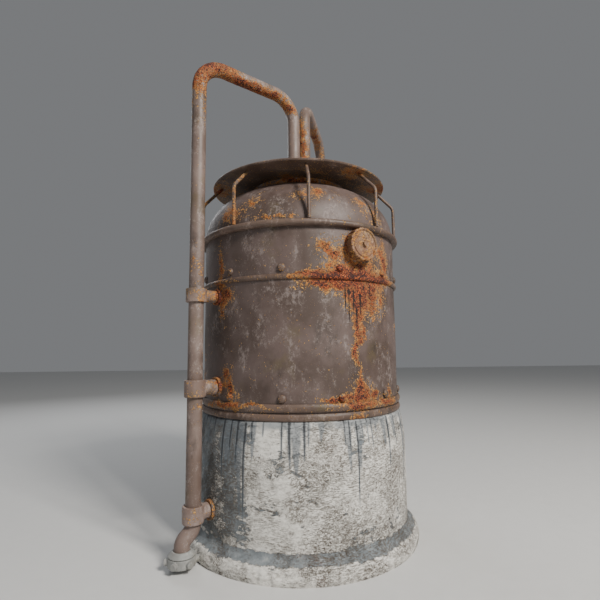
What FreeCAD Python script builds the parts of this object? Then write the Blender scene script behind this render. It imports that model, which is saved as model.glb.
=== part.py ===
"""Stationary carbide gas generator: a riveted sheet-steel vessel on a flared concrete plinth.

Millimetres, +Z up. The origin is the centre of the plinth's underside and -Y is the front.
Water in the upper half of the vessel drips on carbide in the basket below; the gas leaves
through a pipe over the top of the vessel and down its side.
"""
import FreeCAD, Part
import math
import os
import Sketcher

V = FreeCAD.Vector
FULL_TURN = 360

# Driving dimensions, in millimetres, degrees or plain counts.
SIZES = {
    # vessel
    "vessel_radius": 250,
    "shell_wall": 3,
    "seat_gap": 0.2,
    "hole_gap": 0.3,
    "chamber_height": 300,
    "tank_height": 117,
    "flange_corner": 8,
    "flange_height": 60,
    "partition_flange_height": 44,
    "partition_drop": 4,
    "knuckle_radius": 125,
    "knuckle_angle": 60,
    "crown_flat": 130,
    "crown_ring_wall": 6,
    "dome_skirt": 2.5,
    "strap_depth": 24,
    "strap_rise": 5,
    # hoops around the vessel
    "base_ring_height": 15,
    "base_ring_proud": 5.5,
    "hoop_gap": 3.5,
    "lower_hoop_height": 17,
    "partition_hoop_height": 12,
    "hoop_proud": 6,
    "shoulder_ring_height": 15.5,
    "shoulder_ring_proud": 13,
    # rivets
    "rivet_count": 12,
    "rivet_azimuth": -99,
    "rivet_head_radius": 9.5,
    "rivet_head_height": 6,
    "rivet_shank_radius": 4,
    "rivet_tail_radius": 7,
    "rivet_tail_height": 3,
    "lower_rivet_rise": 11,
    "upper_rivet_rise": 14,
    # plinth
    "plinth_height": 304,
    "plinth_step": 14,
    "plinth_top_step": 5,
    "plinth_taper": 92,
    "plinth_taper_round": 400,
    "plinth_edge_round": 8,
    "foot_step": 37.5,
    "foot_lip_height": 22,
    "foot_lip_round": 22,
    "foot_crown": 9,
    "foot_crown_height": 11,
    "foot_crown_round": 14,
    "ledge_height": 41,
    "cove_width": 4,
    "cove_height": 17,
    "cove_round": 24,
    # cover disc and its stays
    "disc_inset": 16.5,
    "disc_thickness": 5,
    "disc_clearance": 13.35,
    "disc_pipe_gap": 1.6,
    "stay_count": 9,
    "stay_azimuth": -125,
    "stay_radius": 4,
    "stay_inset": 7.5,
    "stay_lean": 52,
    "stay_drop": 50,
    "stay_bend": 22,
    # pipes
    "pipe_radius": 16.85,
    "pipe_wall": 3.25,
    "pipe_bend": 65,
    "pipe_standoff": 55,
    "gas_pipe_azimuth": -140,
    "vent_pipe_azimuth": 75,
    "gas_pipe_rise": 264.5,
    "vent_pipe_rise": 276.5,
    "vent_pipe_end": 60,
    # saddle where both pipes enter the dome
    "saddle_x": 3.75,
    "saddle_y": -2.5,
    "saddle_angle": 49.4,
    "saddle_spread": 23.05,
    "saddle_rise": 6,
    "saddle_margin": 13,
    "saddle_bolt_radius": 3,
    "saddle_bolt_side_gap": 5.15,
    "saddle_bolt_end_gap": 6.1,
    "saddle_bolt_head": 5.6,
    "saddle_bolt_head_height": 4,
    "saddle_nut_drop": 0.2,
    # pipe brackets: a collar round the pipe, its arm and the pad it stands on
    "collar_wall": 6.5,
    "collar_fit": 0.05,
    "arm_inset": 1.5,
    "pad_margin": 5.4,
    "pad_thickness": 7,
    "low_collar_height": 36,
    "middle_collar_height": 38,
    "high_collar_height": 31,
    "low_collar_level": 106,
    "middle_collar_rise": 66,
    "high_collar_drop": 27,
    # filler neck and its screw cap
    "filler_azimuth": -58,
    "neck_bore": 25.5,
    "neck_wall": 4.5,
    "neck_length": 18,
    "neck_flange_rim": 6,
    "neck_flange_depth": 5,
    "thread_gap": 0.06,
    "gasket_thickness": 2,
    "cap_wall": 7.5,
    "cap_gap": 0.5,
    "cap_plate": 4.5,
    "cap_skirt_gap": 1.5,
    "cap_edge": 1.5,
    "cap_groove_inner": 28.5,
    "cap_groove_outer": 32,
    "cap_groove_depth": 2,
    "cap_notch_count": 14,
    "cap_notch_radius": 3,
    "cap_notch_offset": 0.8,
    "cap_screw_radius": 3,
    "cap_screw_head": 6,
    "cap_screw_head_height": 5,
    # outlet at the foot of the gas pipe
    "outlet_offset": 24,
    "outlet_bend": 22,
    "outlet_high": 74.4,
    "outlet_low": 54.3,
    "coupling_top": 40,
    "coupling_shoulder": 29.5,
    "coupling_shoulder_height": 2,
    "coupling_radius": 28.5,
    "coupling_lip": 3,
    "spigot_radius": 23,
    "spigot_length": 9,
    "outlet_cap_radius": 29.5,
    "outlet_cap_plate": 9,
    "outlet_cap_edge": 2.5,
    "outlet_cap_rim_gap": 1,
    "lug_count": 6,
    "lug_azimuth": 15,
    "lug_reach": 6.5,
    "lug_root": 5,
    "lug_radius": 7,
    "lug_level": 10,
    # gas riser, filter and drip tube inside
    "riser_drop": 16,
    "locknut_radius": 27,
    "locknut_height": 8,
    "filter_radius": 45,
    "filter_wall": 2,
    "filter_depth": 40,
    "filter_gap": 12,
    "felt_gap": 4,
    "felt_thickness": 20,
    "filter_plate_thickness": 3,
    "filter_hole_radius": 4,
    "filter_hole_ring": 26,
    "filter_hole_count": 10,
    "drip_x": 62,
    "drip_y": 44,
    "drip_radius": 8.6,
    "drip_bore": 6.3,
    "drip_length": 84,
    "nozzle_radius": 11,
    "nozzle_length": 22,
    "nozzle_cover": 10,
    "nozzle_bore": 1.5,
    # carbide basket and what carries it
    "tray_radius": 214,
    "tray_wall": 2,
    "tray_height": 20,
    "tray_corner": 6,
    "leg_count": 4,
    "leg_radius": 8,
    "leg_height": 27,
    "leg_ring": 150,
    "stand_ring_width": 20,
    "stand_ring_height": 5,
    "basket_radius": 165,
    "basket_wall": 2,
    "basket_height": 150,
    "basket_lip": 14,
    "basket_slot_count": 24,
    "basket_slot_width": 10,
    "basket_slot_height": 44,
    "basket_slot_low": 18,
    "basket_slot_pitch": 62,
    "grate_thickness": 3,
    "grate_hole_radius": 9,
    "grate_inner_ring": 42,
    "grate_middle_ring": 86,
    "grate_outer_ring": 130,
    "grate_inner_count": 8,
    "grate_middle_count": 16,
    "grate_outer_count": 24,
}

doc = FreeCAD.newDocument("carbide_gas_generator")
sheet = doc.addObject("Spreadsheet::Sheet", "Sizes")
for row, (alias, number) in enumerate(SIZES.items(), start=1):
    sheet.set(f"A{row}", alias)
    sheet.set(f"B{row}", str(number))
    sheet.setAlias(f"B{row}", alias)
doc.recompute()


class Size:
    """A number that carries the spreadsheet formula it comes from."""

    def __init__(self, value, formula):
        self.value = value
        self.formula = formula

    def __add__(self, other):
        other = as_size(other)
        return Size(self.value + other.value, f"({self.formula} + {other.formula})")

    def __sub__(self, other):
        other = as_size(other)
        return Size(self.value - other.value, f"({self.formula} - {other.formula})")

    def __mul__(self, other):
        other = as_size(other)
        return Size(self.value * other.value, f"({self.formula} * {other.formula})")

    def __truediv__(self, other):
        other = as_size(other)
        return Size(self.value / other.value, f"({self.formula} / {other.formula})")

    def __neg__(self):
        return Size(-self.value, f"(0 - {self.formula})")

    __radd__ = __add__
    __rmul__ = __mul__


def as_size(number):
    return number if isinstance(number, Size) else Size(float(number), str(number))


def size(alias):
    """The size that a cell of the sheet drives."""
    return Size(float(sheet.get(alias)), f"Sizes.{alias}")


def root(number):
    return Size(math.sqrt(number.value), f"sqrt({number.formula})")


def cosine(angle):
    return Size(math.cos(math.radians(angle.value)), f"cos({angle.formula})")


def sine(angle):
    return Size(math.sin(math.radians(angle.value)), f"sin({angle.formula})")


def heading(x, y):
    return Size(math.degrees(math.atan2(y.value, x.value)), f"atan2({y.formula}; {x.formula})")


def half_chord(radius, offset):
    """Half the chord of a circle at an offset from its centre."""
    return root(radius * radius - offset * offset)


ZERO = Size(0.0, "0")
NO_PLACE = (ZERO, ZERO, ZERO, ZERO)


# ---------------------------------------------------------------- building blocks

def bind(item, prop, number):
    item.setExpression(prop, number.formula)


def place(item, x=ZERO, y=ZERO, z=ZERO, turn=ZERO):
    """Put an item at x, y, z, turned about the vertical."""
    text = f"placement(vector({x.formula}; {y.formula}; {z.formula}); "
    item.setExpression("Placement", text + f"rotation(vector(0; 0; 1); {turn.formula}))")


def origin_feature(body, role):
    return next(item for item in body.Origin.OriginFeatures if item.Role == role)


def new_body(name):
    body = doc.addObject("PartDesign::Body", name)
    body.Label = name
    return body


def new_sketch(body, name, plane, lift=ZERO):
    """A sketch on one of the body's own planes, moved along the plane's normal by lift."""
    sketch = body.newObject("Sketcher::SketchObject", f"{body.Name}_{name}")
    sketch.AttachmentSupport = [(origin_feature(body, plane), "")]
    sketch.MapMode = "FlatFace"
    bind(sketch, "AttachmentOffset.Base.z", lift)
    return sketch


def pin_point(sketch, geometry, end, x, y):
    """Tie one end of a sketch edge to the coordinates x, y."""
    for kind, axis, number in (("DistanceX", -2, x), ("DistanceY", -1, y)):
        if number.formula == "0":
            sketch.addConstraint(Sketcher.Constraint("PointOnObject", geometry, end, axis))
        else:
            rule = Sketcher.Constraint(kind, -1, 1, geometry, end, number.value)
            bind(sketch, f"Constraints[{sketch.addConstraint(rule)}]", number)


def set_radius(sketch, geometry, radius):
    rule = Sketcher.Constraint("Radius", geometry, radius.value)
    bind(sketch, f"Constraints[{sketch.addConstraint(rule)}]", radius)


def arc_between(start, end, radius, side):
    """The short arc from start to end; side 1 has its centre left of that direction."""
    middle = (start + end) * 0.5
    chord = end - start
    reach = math.sqrt(max(radius ** 2 - (chord.Length / 2) ** 2, 0))
    left = V(-chord.y, chord.x, 0).normalize()
    centre = middle + left * reach * side
    first = math.atan2(start.y - centre.y, start.x - centre.x)
    last = math.atan2(end.y - centre.y, end.x - centre.x)
    circle = Part.Circle(centre, V(0, 0, 1), radius)
    if side > 0:
        return Part.ArcOfCircle(circle, first, last if last > first else last + math.tau)
    return Part.ArcOfCircle(circle, last, first if first > last else first + math.tau)


def draw_outline(sketch, steps):
    """Draw a closed outline.

    Each step is (x, y) for a straight edge that starts there, or (x, y, radius, side) for an
    arc that starts there. Every edge ends where the next step starts.
    """
    ends = []
    for number, step in enumerate(steps):
        following = steps[(number + 1) % len(steps)]
        start = V(step[0].value, step[1].value, 0)
        end = V(following[0].value, following[1].value, 0)
        if len(step) == 2:
            edge = sketch.addGeometry(Part.LineSegment(start, end), False)
            ends.append((edge, 1, 2))
        else:
            edge = sketch.addGeometry(arc_between(start, end, step[2].value, step[3]), False)
            ends.append((edge, 1, 2) if step[3] > 0 else (edge, 2, 1))
            set_radius(sketch, edge, step[2])
    for number, (edge, first, last) in enumerate(ends):
        next_edge, next_first, _ = ends[(number + 1) % len(ends)]
        sketch.addConstraint(Sketcher.Constraint("Coincident", edge, last, next_edge, next_first))
        pin_point(sketch, edge, first, steps[number][0], steps[number][1])


def draw_route(sketch, points, radii):
    """Draw an open route: straight runs through the points, rounded by the radii."""
    spots = [V(x.value, y.value, 0) for x, y in points]
    cuts = []
    for number, radius in enumerate(radii, start=1):
        back = (spots[number - 1] - spots[number]).normalize()
        ahead = (spots[number + 1] - spots[number]).normalize()
        trim = radius.value / math.tan(back.getAngle(ahead) / 2)
        cuts.append((spots[number] + back * trim, spots[number] + ahead * trim))
    starts = [spots[0]] + [cut[1] for cut in cuts]
    stops = [cut[0] for cut in cuts] + [spots[-1]]
    runs = [sketch.addGeometry(Part.LineSegment(a, b), False) for a, b in zip(starts, stops)]
    for number, radius in enumerate(radii):
        before, after = cuts[number]
        turn = (before - starts[number]).cross(after - before).z
        side = 1 if turn > 0 else -1
        arc = sketch.addGeometry(arc_between(before, after, radius.value, side), False)
        first, last = (1, 2) if side > 0 else (2, 1)
        sketch.addConstraint(Sketcher.Constraint("Tangent", runs[number], 2, arc, first))
        sketch.addConstraint(Sketcher.Constraint("Tangent", arc, last, runs[number + 1], 1))
        set_radius(sketch, arc, radius)
        corner = sketch.addGeometry(Part.Point(spots[number + 1]), True)
        pin_point(sketch, corner, 1, *points[number + 1])
        for run in (runs[number], runs[number + 1]):
            sketch.addConstraint(Sketcher.Constraint("PointOnObject", corner, 1, run))
    pin_point(sketch, runs[0], 1, *points[0])
    pin_point(sketch, runs[-1], 2, *points[-1])


def draw_circle(sketch, x, y, radius):
    circle = Part.Circle(V(x.value, y.value, 0), V(0, 0, 1), radius.value)
    edge = sketch.addGeometry(circle, False)
    pin_point(sketch, edge, 3, x, y)
    set_radius(sketch, edge, radius)


def draw_box(sketch, low_x, high_x, low_y, high_y):
    draw_outline(sketch, [(low_x, low_y), (high_x, low_y), (high_x, high_y), (low_x, high_y)])


def turned(name, steps, axis="V_Axis"):
    """A body turned from an outline in the XZ plane about its vertical or horizontal axis."""
    body = new_body(name)
    sketch = new_sketch(body, "outline", "XZ_Plane")
    draw_outline(sketch, steps)
    spin = body.newObject("PartDesign::Revolution", f"{name}_turn")
    spin.Profile = sketch
    spin.ReferenceAxis = (sketch, [axis])
    spin.Angle = FULL_TURN
    return body


def tube(name, radius, bore, low, high):
    return turned(name, [(bore, low), (radius, low), (radius, high), (bore, high)])


def bent_bar(name, points, radii, radius, bore=None):
    """A round bar or tube along a route in the XZ plane; its first run is vertical."""
    body = new_body(name)
    route = new_sketch(body, "route", "XZ_Plane")
    draw_route(route, points, radii)
    section = new_sketch(body, "section", "XY_Plane", points[0][1])
    draw_circle(section, points[0][0], ZERO, radius)
    if bore:
        draw_circle(section, points[0][0], ZERO, bore)
    sweep = body.newObject("PartDesign::AdditivePipe", f"{name}_sweep")
    sweep.Profile = section
    sweep.Spine = route
    return body


def pad_sketch(body, sketch, name, depth):
    pad = body.newObject("PartDesign::Pad", f"{body.Name}_{name}")
    pad.Profile = sketch
    bind(pad, "Length", depth)
    return pad


def pocket_sketch(body, sketch, name, depth, along_normal=False):
    """Cut a sketch out of a body, against the plane's normal unless along_normal is set."""
    pocket = body.newObject("PartDesign::Pocket", f"{body.Name}_{name}")
    pocket.Profile = sketch
    pocket.Reversed = along_normal
    bind(pocket, "Length", depth)
    return pocket


def repeat_around(body, feature, name, count, axis="Z_Axis"):
    doc.recompute()
    pattern = body.newObject("PartDesign::PolarPattern", f"{body.Name}_{name}")
    pattern.Originals = [feature]
    pattern.Axis = (origin_feature(body, axis), [""])
    pattern.Angle = FULL_TURN
    bind(pattern, "Occurrences", count)
    body.Tip = pattern
    return pattern


def cylinder(name, radius, height, x=ZERO, y=ZERO, z=ZERO):
    item = doc.addObject("Part::Cylinder", name)
    bind(item, "Radius", radius)
    bind(item, "Height", height)
    place(item, x, y, z)
    return item


def radial_item(kind, name, reach, across, level, azimuth):
    """A cylinder or prism whose axis points away from the vessel's axis.

    It starts at reach from the vessel's axis, across is its sideways offset.
    """
    item = doc.addObject(kind, name)
    base_x = reach * cosine(azimuth) - across * sine(azimuth)
    base_y = reach * sine(azimuth) + across * cosine(azimuth)
    spot = f"vector({base_x.formula}; {base_y.formula}; {level.formula})"
    turn = f"rotation({azimuth.formula}; 90; 0)"
    item.setExpression("Placement", f"placement({spot}; {turn})")
    return item


def join(name, pieces):
    item = doc.addObject("Part::MultiFuse", name)
    item.Shapes = pieces
    item.Label = name
    return item


def cut(name, base, tool):
    item = doc.addObject("Part::Cut", name)
    item.Base = base
    item.Tool = tool
    item.Label = name
    return item


def group(name, pieces):
    """Separate solids that share one node."""
    item = doc.addObject("Part::Compound", name)
    item.Links = pieces
    item.Label = name
    return item


def polar(reach, azimuth):
    return reach * cosine(azimuth), reach * sine(azimuth)


nodes = []

# ---------------------------------------------------------------- levels and shared places

vessel_radius = size("vessel_radius")
wall = size("shell_wall")
seat_gap = size("seat_gap")
hole_gap = size("hole_gap")
inner_radius = vessel_radius - wall - seat_gap

plinth_top = size("plinth_height")
lower_hoop_low = plinth_top + size("base_ring_height") + size("hoop_gap")
lower_hoop_high = lower_hoop_low + size("lower_hoop_height")
partition_hoop_low = plinth_top + size("chamber_height")
partition_hoop_high = partition_hoop_low + size("partition_hoop_height")
partition_low = partition_hoop_low - size("partition_drop")
partition_high = partition_low + wall
shoulder_low = partition_hoop_low + size("tank_height")
shoulder_high = shoulder_low + size("shoulder_ring_height")
seam_level = shoulder_low + size("shoulder_ring_height") / 2
spring_level = seam_level + size("dome_skirt")

knuckle = size("knuckle_radius")
knuckle_angle = size("knuckle_angle")
knuckle_x = vessel_radius - knuckle + knuckle * cosine(knuckle_angle)
knuckle_z = spring_level + knuckle * sine(knuckle_angle)
crown_radius = knuckle_x / cosine(knuckle_angle)
crown_centre = knuckle_z - crown_radius * sine(knuckle_angle)
crown_flat = size("crown_flat")
crown_top = crown_centre + root(crown_radius * crown_radius - crown_flat * crown_flat)

disc_low = crown_top + size("disc_clearance")
disc_high = disc_low + size("disc_thickness")
lower_rivet_level = lower_hoop_high + size("lower_rivet_rise")
upper_rivet_level = partition_hoop_high + size("upper_rivet_rise")
cap_radius = size("neck_bore") + size("neck_wall") + size("cap_wall")
filler_level = shoulder_low - size("cap_gap") - cap_radius
floor_high = plinth_top + wall

pipe_radius = size("pipe_radius")
pipe_bore = pipe_radius - size("pipe_wall")
pipe_reach = vessel_radius + size("pipe_standoff")
saddle_angle = size("saddle_angle")
saddle_x = size("saddle_x")
saddle_y = size("saddle_y")
spread_x = size("saddle_spread") * cosine(saddle_angle)
spread_y = size("saddle_spread") * sine(saddle_angle)
gas_riser_x = saddle_x - spread_x
gas_riser_y = saddle_y - spread_y
vent_riser_x = saddle_x + spread_x
vent_riser_y = saddle_y + spread_y


# ---------------------------------------------------------------- plinth

def build_plinth():
    foot = vessel_radius + size("foot_step")
    stem = vessel_radius + size("plinth_step")
    top = vessel_radius + size("plinth_top_step")
    edge = size("plinth_edge_round")
    lip_high = size("foot_lip_height")
    crown_x = foot - size("foot_crown")
    crown_z = lip_high + size("foot_crown_height")
    ledge = size("ledge_height")
    nodes.append(turned("plinth", [
        (ZERO, ZERO),
        (foot, ZERO, size("foot_lip_round"), 1),
        (foot, lip_high, size("foot_crown_round"), 1),
        (crown_x, crown_z),
        (stem + size("cove_width"), ledge, size("cove_round"), -1),
        (stem, ledge + size("cove_height")),
        (stem, plinth_top - size("plinth_taper"), size("plinth_taper_round"), 1),
        (top, plinth_top - edge, edge, 1),
        (top - edge, plinth_top),
        (ZERO, plinth_top),
    ]))


# ---------------------------------------------------------------- vessel

def build_hoop(name, low, height, proud):
    """A steel hoop with a rounded outer face."""
    inner = vessel_radius + seat_gap
    bulge = proud * 0.55
    shoulder = vessel_radius + proud - bulge
    half = height / 2
    round_radius = (half * half + bulge * bulge) / (bulge * 2)
    nodes.append(turned(name, [
        (inner, low),
        (shoulder, low, round_radius, 1),
        (shoulder, low + height),
        (inner, low + height),
    ]))


def flanged_plate(name, low, flange_height):
    """A flat plate with its rim turned up against the inside of the shell."""
    corner = size("flange_corner")
    inner_corner = corner - wall
    high = low + flange_height
    return turned(name, [
        (ZERO, low),
        (inner_radius - corner, low, corner, 1),
        (inner_radius, low + corner),
        (inner_radius, high),
        (inner_radius - wall, high),
        (inner_radius - wall, low + corner, inner_corner, -1),
        (inner_radius - corner, low + wall),
        (ZERO, low + wall),
    ])


def drill_rivet_holes(body, levels):
    """Cut the ring of rivet holes at each level through the body's wall."""
    for number, level in enumerate(levels):
        sketch = new_sketch(body, f"rivet_hole_{number}", "YZ_Plane")
        draw_circle(sketch, ZERO, level, size("rivet_shank_radius") + hole_gap)
        hole = pocket_sketch(body, sketch, f"hole_{number}", vessel_radius + wall, True)
        repeat_around(body, hole, f"holes_{number}", size("rivet_count"))
    place(body, turn=size("rivet_azimuth"))


def build_shell():
    blank = turned("shell_blank", [
        (vessel_radius - wall, plinth_top),
        (vessel_radius, plinth_top),
        (vessel_radius, seam_level),
        (vessel_radius - wall, seam_level),
    ])
    drill_rivet_holes(blank, [lower_rivet_level, upper_rivet_level])
    filler_azimuth = size("filler_azimuth")
    bore = radial_item("Part::Cylinder", "filler_hole", ZERO, ZERO, filler_level, filler_azimuth)
    bind(bore, "Radius", size("neck_bore"))
    bind(bore, "Height", vessel_radius + wall)
    nodes.append(cut("vessel_shell", blank, bore))


def build_floor_and_partition():
    floor = flanged_plate("vessel_floor", plinth_top, size("flange_height"))
    drill_rivet_holes(floor, [lower_rivet_level])
    nodes.append(floor)
    plate = flanged_plate("partition_blank", partition_low, size("partition_flange_height"))
    drill_rivet_holes(plate, [upper_rivet_level])
    depth = wall * 3
    holes = [
        cylinder("partition_riser_hole", pipe_radius + hole_gap, depth,
                 gas_riser_x, gas_riser_y, partition_low - wall),
        cylinder("partition_drip_hole", size("drip_radius") + hole_gap, depth,
                 size("drip_x"), size("drip_y"), partition_low - wall),
    ]
    nodes.append(cut("partition_plate", plate, join("partition_holes", holes)))


def build_rivets(name, level):
    """A ring of rivets through the shell and the flange behind it."""
    body = new_body(name)
    body.AllowCompound = True
    head = size("rivet_head_radius")
    rise = size("rivet_head_height")
    shank = size("rivet_shank_radius")
    face = vessel_radius + seat_gap / 2
    tail = inner_radius - wall - seat_gap * 1.5
    tail_end = tail - size("rivet_tail_height")
    crown = (head * head + rise * rise) / (rise * 2)
    sketch = new_sketch(body, "outline", "XZ_Plane")
    draw_outline(sketch, [
        (tail_end, level),
        (face + rise, level, crown, 1),
        (face, level + head),
        (face, level + shank),
        (tail, level + shank),
        (tail, level + size("rivet_tail_radius")),
        (tail_end, level + size("rivet_tail_radius")),
    ])
    spin = body.newObject("PartDesign::Revolution", f"{name}_turn")
    spin.Profile = sketch
    spin.ReferenceAxis = (sketch, ["Edge1"])
    spin.Angle = FULL_TURN
    repeat_around(body, spin, "ring", size("rivet_count"))
    place(body, turn=size("rivet_azimuth"))
    nodes.append(body)


def build_dome():
    skirt_low = seam_level + seat_gap
    inner_crown = crown_radius - wall
    inner_rise = crown_top - wall - crown_centre
    inner_flat = root(inner_crown * inner_crown - inner_rise * inner_rise)
    blank = turned("dome_blank", [
        (vessel_radius - wall, skirt_low),
        (vessel_radius, skirt_low),
        (vessel_radius, spring_level, knuckle, 1),
        (knuckle_x, knuckle_z, crown_radius, 1),
        (crown_flat, crown_top),
        (ZERO, crown_top),
        (ZERO, crown_top - wall),
        (inner_flat, crown_top - wall, inner_crown, -1),
        (knuckle_x - wall * cosine(knuckle_angle), knuckle_z - wall * sine(knuckle_angle),
         knuckle - wall, -1),
        (vessel_radius - wall, spring_level),
    ])
    low = crown_top - knuckle / 2
    holes = [
        cylinder("dome_gas_hole", pipe_radius + hole_gap, knuckle, gas_riser_x, gas_riser_y, low),
        cylinder("dome_vent_hole", pipe_bore, knuckle, vent_riser_x, vent_riser_y, low),
    ]
    for number, (x, y) in enumerate(saddle_bolt_places()):
        radius = size("saddle_bolt_radius") + hole_gap
        holes.append(cylinder(f"dome_bolt_hole_{number}", radius, knuckle, x, y, low))
    nodes.append(cut("dome_head", blank, join("dome_holes", holes)))
    strap_high = spring_level + size("strap_rise")
    nodes.append(turned("shoulder_strap", [
        (inner_radius - wall, seam_level - size("strap_depth")),
        (inner_radius, seam_level - size("strap_depth")),
        (inner_radius, strap_high),
        (inner_radius - wall, strap_high),
    ]))


# ---------------------------------------------------------------- cover disc and stays

def build_cover():
    edge = size("disc_thickness") / 2
    disc = vessel_radius - size("disc_inset")
    blank = turned("disc_blank", [
        (ZERO, disc_low),
        (disc - edge, disc_low, edge * 1.05, 1),
        (disc - edge, disc_high),
        (ZERO, disc_high),
    ])
    gap = pipe_radius + size("disc_pipe_gap")
    low = disc_low - edge
    depth = size("disc_thickness") * 2
    holes = [
        cylinder("disc_gas_hole", gap, depth, gas_riser_x, gas_riser_y, low),
        cylinder("disc_vent_hole", gap, depth, vent_riser_x, vent_riser_y, low),
    ]
    nodes.append(cut("cover_disc", blank, join("disc_holes", holes)))
    nodes.append(tube("crown_ring", crown_flat, crown_flat - size("crown_ring_wall"),
                      crown_top + seat_gap, disc_low - seat_gap))


def build_stays():
    """Bent rods that stand on the shoulder ring and lean in under the cover disc."""
    radius = size("stay_radius")
    foot = vessel_radius + size("stay_inset") - seat_gap
    lean = size("stay_lean")
    low = shoulder_high
    bend_level = disc_low - size("stay_drop")
    for number in range(SIZES["stay_count"]):
        name = f"stay_rod_{number + 1}"
        points = [(foot, low), (foot, bend_level), (foot - lean, disc_low + radius)]
        rod = bent_bar(f"{name}_blank", points, [size("stay_bend")], radius)
        trim = doc.addObject("Part::Box", f"{name}_trim")
        bind(trim, "Length", foot)
        bind(trim, "Width", radius * 4)
        bind(trim, "Height", radius * 4)
        place(trim, ZERO, radius * -2, disc_low)
        piece = cut(name, rod, trim)
        place(piece, turn=size("stay_azimuth") + Size(number, str(number)) * FULL_TURN
              / size("stay_count"))
        nodes.append(piece)


# ---------------------------------------------------------------- pipes and their saddle

def build_pipe(name, riser_x, riser_y, azimuth, rise, tail):
    """A pipe that rises from the dome, runs outward and comes down beside the vessel.

    tail holds the route's last points and bends below the clamps, measured from the downpipe.
    """
    end_x, end_y = polar(pipe_reach, azimuth)
    across_x = end_x - riser_x
    across_y = end_y - riser_y
    length = root(across_x * across_x + across_y * across_y)
    top = disc_low + rise
    tail_points, tail_radii = tail
    points = [(ZERO, crown_top + seat_gap), (ZERO, top), (length, top)]
    points += [(length + out, level) for out, level in tail_points]
    radii = [size("pipe_bend"), size("pipe_bend")] + tail_radii
    pipe = bent_bar(name, points, radii, pipe_radius, pipe_bore)
    turn = heading(across_x, across_y)
    place(pipe, riser_x, riser_y, ZERO, turn)
    nodes.append(pipe)
    return turn, length


def saddle_bolt_places():
    side = pipe_radius + size("saddle_bolt_side_gap")
    end = size("saddle_spread") + pipe_radius + size("saddle_bolt_end_gap")
    along_x, along_y = cosine(saddle_angle), sine(saddle_angle)
    return [
        (saddle_x + end * along_x, saddle_y + end * along_y),
        (saddle_x - end * along_x, saddle_y - end * along_y),
        (saddle_x - side * along_y, saddle_y + side * along_x),
        (saddle_x + side * along_y, saddle_y - side * along_x),
    ]


def build_saddle():
    """The casting that seats both pipes on the dome, its bolts and nuts."""
    low = crown_top + seat_gap / 2
    depth = size("saddle_rise") - seat_gap / 2
    outer = pipe_radius + size("saddle_margin")
    ends = [
        cylinder("saddle_gas_end", outer, depth, gas_riser_x, gas_riser_y, low),
        cylinder("saddle_vent_end", outer, depth, vent_riser_x, vent_riser_y, low),
    ]
    web = doc.addObject("Part::Box", "saddle_web")
    bind(web, "Length", size("saddle_spread") * 2)
    bind(web, "Width", outer * 2)
    bind(web, "Height", depth)
    corner_x = gas_riser_x + outer * sine(saddle_angle)
    corner_y = gas_riser_y - outer * cosine(saddle_angle)
    place(web, corner_x, corner_y, low, saddle_angle)
    tools = [
        cylinder("saddle_gas_bore", pipe_radius + size("collar_fit"), depth * 2,
                 gas_riser_x, gas_riser_y, low),
        cylinder("saddle_vent_bore", pipe_radius + size("collar_fit"), depth * 2,
                 vent_riser_x, vent_riser_y, low),
    ]
    bolt = size("saddle_bolt_radius")
    top = crown_top + size("saddle_rise")
    nut_low = crown_top - wall - size("saddle_nut_drop") - size("saddle_bolt_head_height")
    bolts = []
    for number, (x, y) in enumerate(saddle_bolt_places()):
        tools.append(cylinder(f"saddle_bolt_hole_{number}", bolt + hole_gap, depth * 2, x, y, low))
        shank = cylinder(f"saddle_shank_{number}", bolt, top - nut_low, x, y, nut_low)
        bolts.append(join(f"saddle_bolt_{number}", [
            shank,
            hexagon(f"saddle_head_{number}", x, y, top),
            hexagon(f"saddle_nut_{number}", x, y, nut_low),
        ]))
    nodes.append(cut("pipe_saddle", join("saddle_blank", ends + [web]),
                     join("saddle_tools", tools)))
    nodes.append(group("saddle_bolts", bolts))


def hexagon(name, x, y, z):
    item = doc.addObject("Part::Prism", name)
    item.Polygon = 6
    bind(item, "Circumradius", size("saddle_bolt_head"))
    bind(item, "Height", size("saddle_bolt_head_height"))
    place(item, x, y, z)
    return item


# ---------------------------------------------------------------- pipe brackets

def build_bracket(prefix, azimuth, level, height, seat_radius):
    """A collar with an arm that enters a pad on a round wall of seat_radius."""
    collar_fit = size("collar_fit")
    ring_radius = pipe_radius + size("collar_wall")
    arm_radius = height / 2 - size("arm_inset")
    start = seat_radius - height / 2
    tall = height * 4
    x, y = polar(pipe_reach, azimuth)

    ring = cylinder(f"{prefix}_ring", ring_radius, height, x, y, level - height / 2)
    arm = radial_item("Part::Cylinder", f"{prefix}_arm", start, ZERO, level, azimuth)
    bind(arm, "Radius", arm_radius)
    bind(arm, "Height", pipe_reach - start)
    bore = cylinder(f"{prefix}_bore", pipe_radius + collar_fit, tall, x, y, level - tall / 2)
    seat = cylinder(f"{prefix}_seat", seat_radius + seat_gap / 2, tall, z=level - tall / 2)
    nodes.append(cut(f"{prefix}_collar", join(f"{prefix}_blank", [ring, arm]),
                     join(f"{prefix}_cuts", [bore, seat])))

    face = seat_radius + size("pad_thickness")
    disc = radial_item("Part::Cylinder", f"{prefix}_disc", start, ZERO, level, azimuth)
    bind(disc, "Radius", arm_radius + size("pad_margin"))
    bind(disc, "Height", face - start)
    hole = radial_item("Part::Cylinder", f"{prefix}_hole", start, ZERO, level, azimuth)
    bind(hole, "Radius", arm_radius + collar_fit)
    bind(hole, "Height", face)
    nodes.append(cut(f"{prefix}_pad", disc, join(f"{prefix}_pad_cuts", [seat, hole])))


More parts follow.
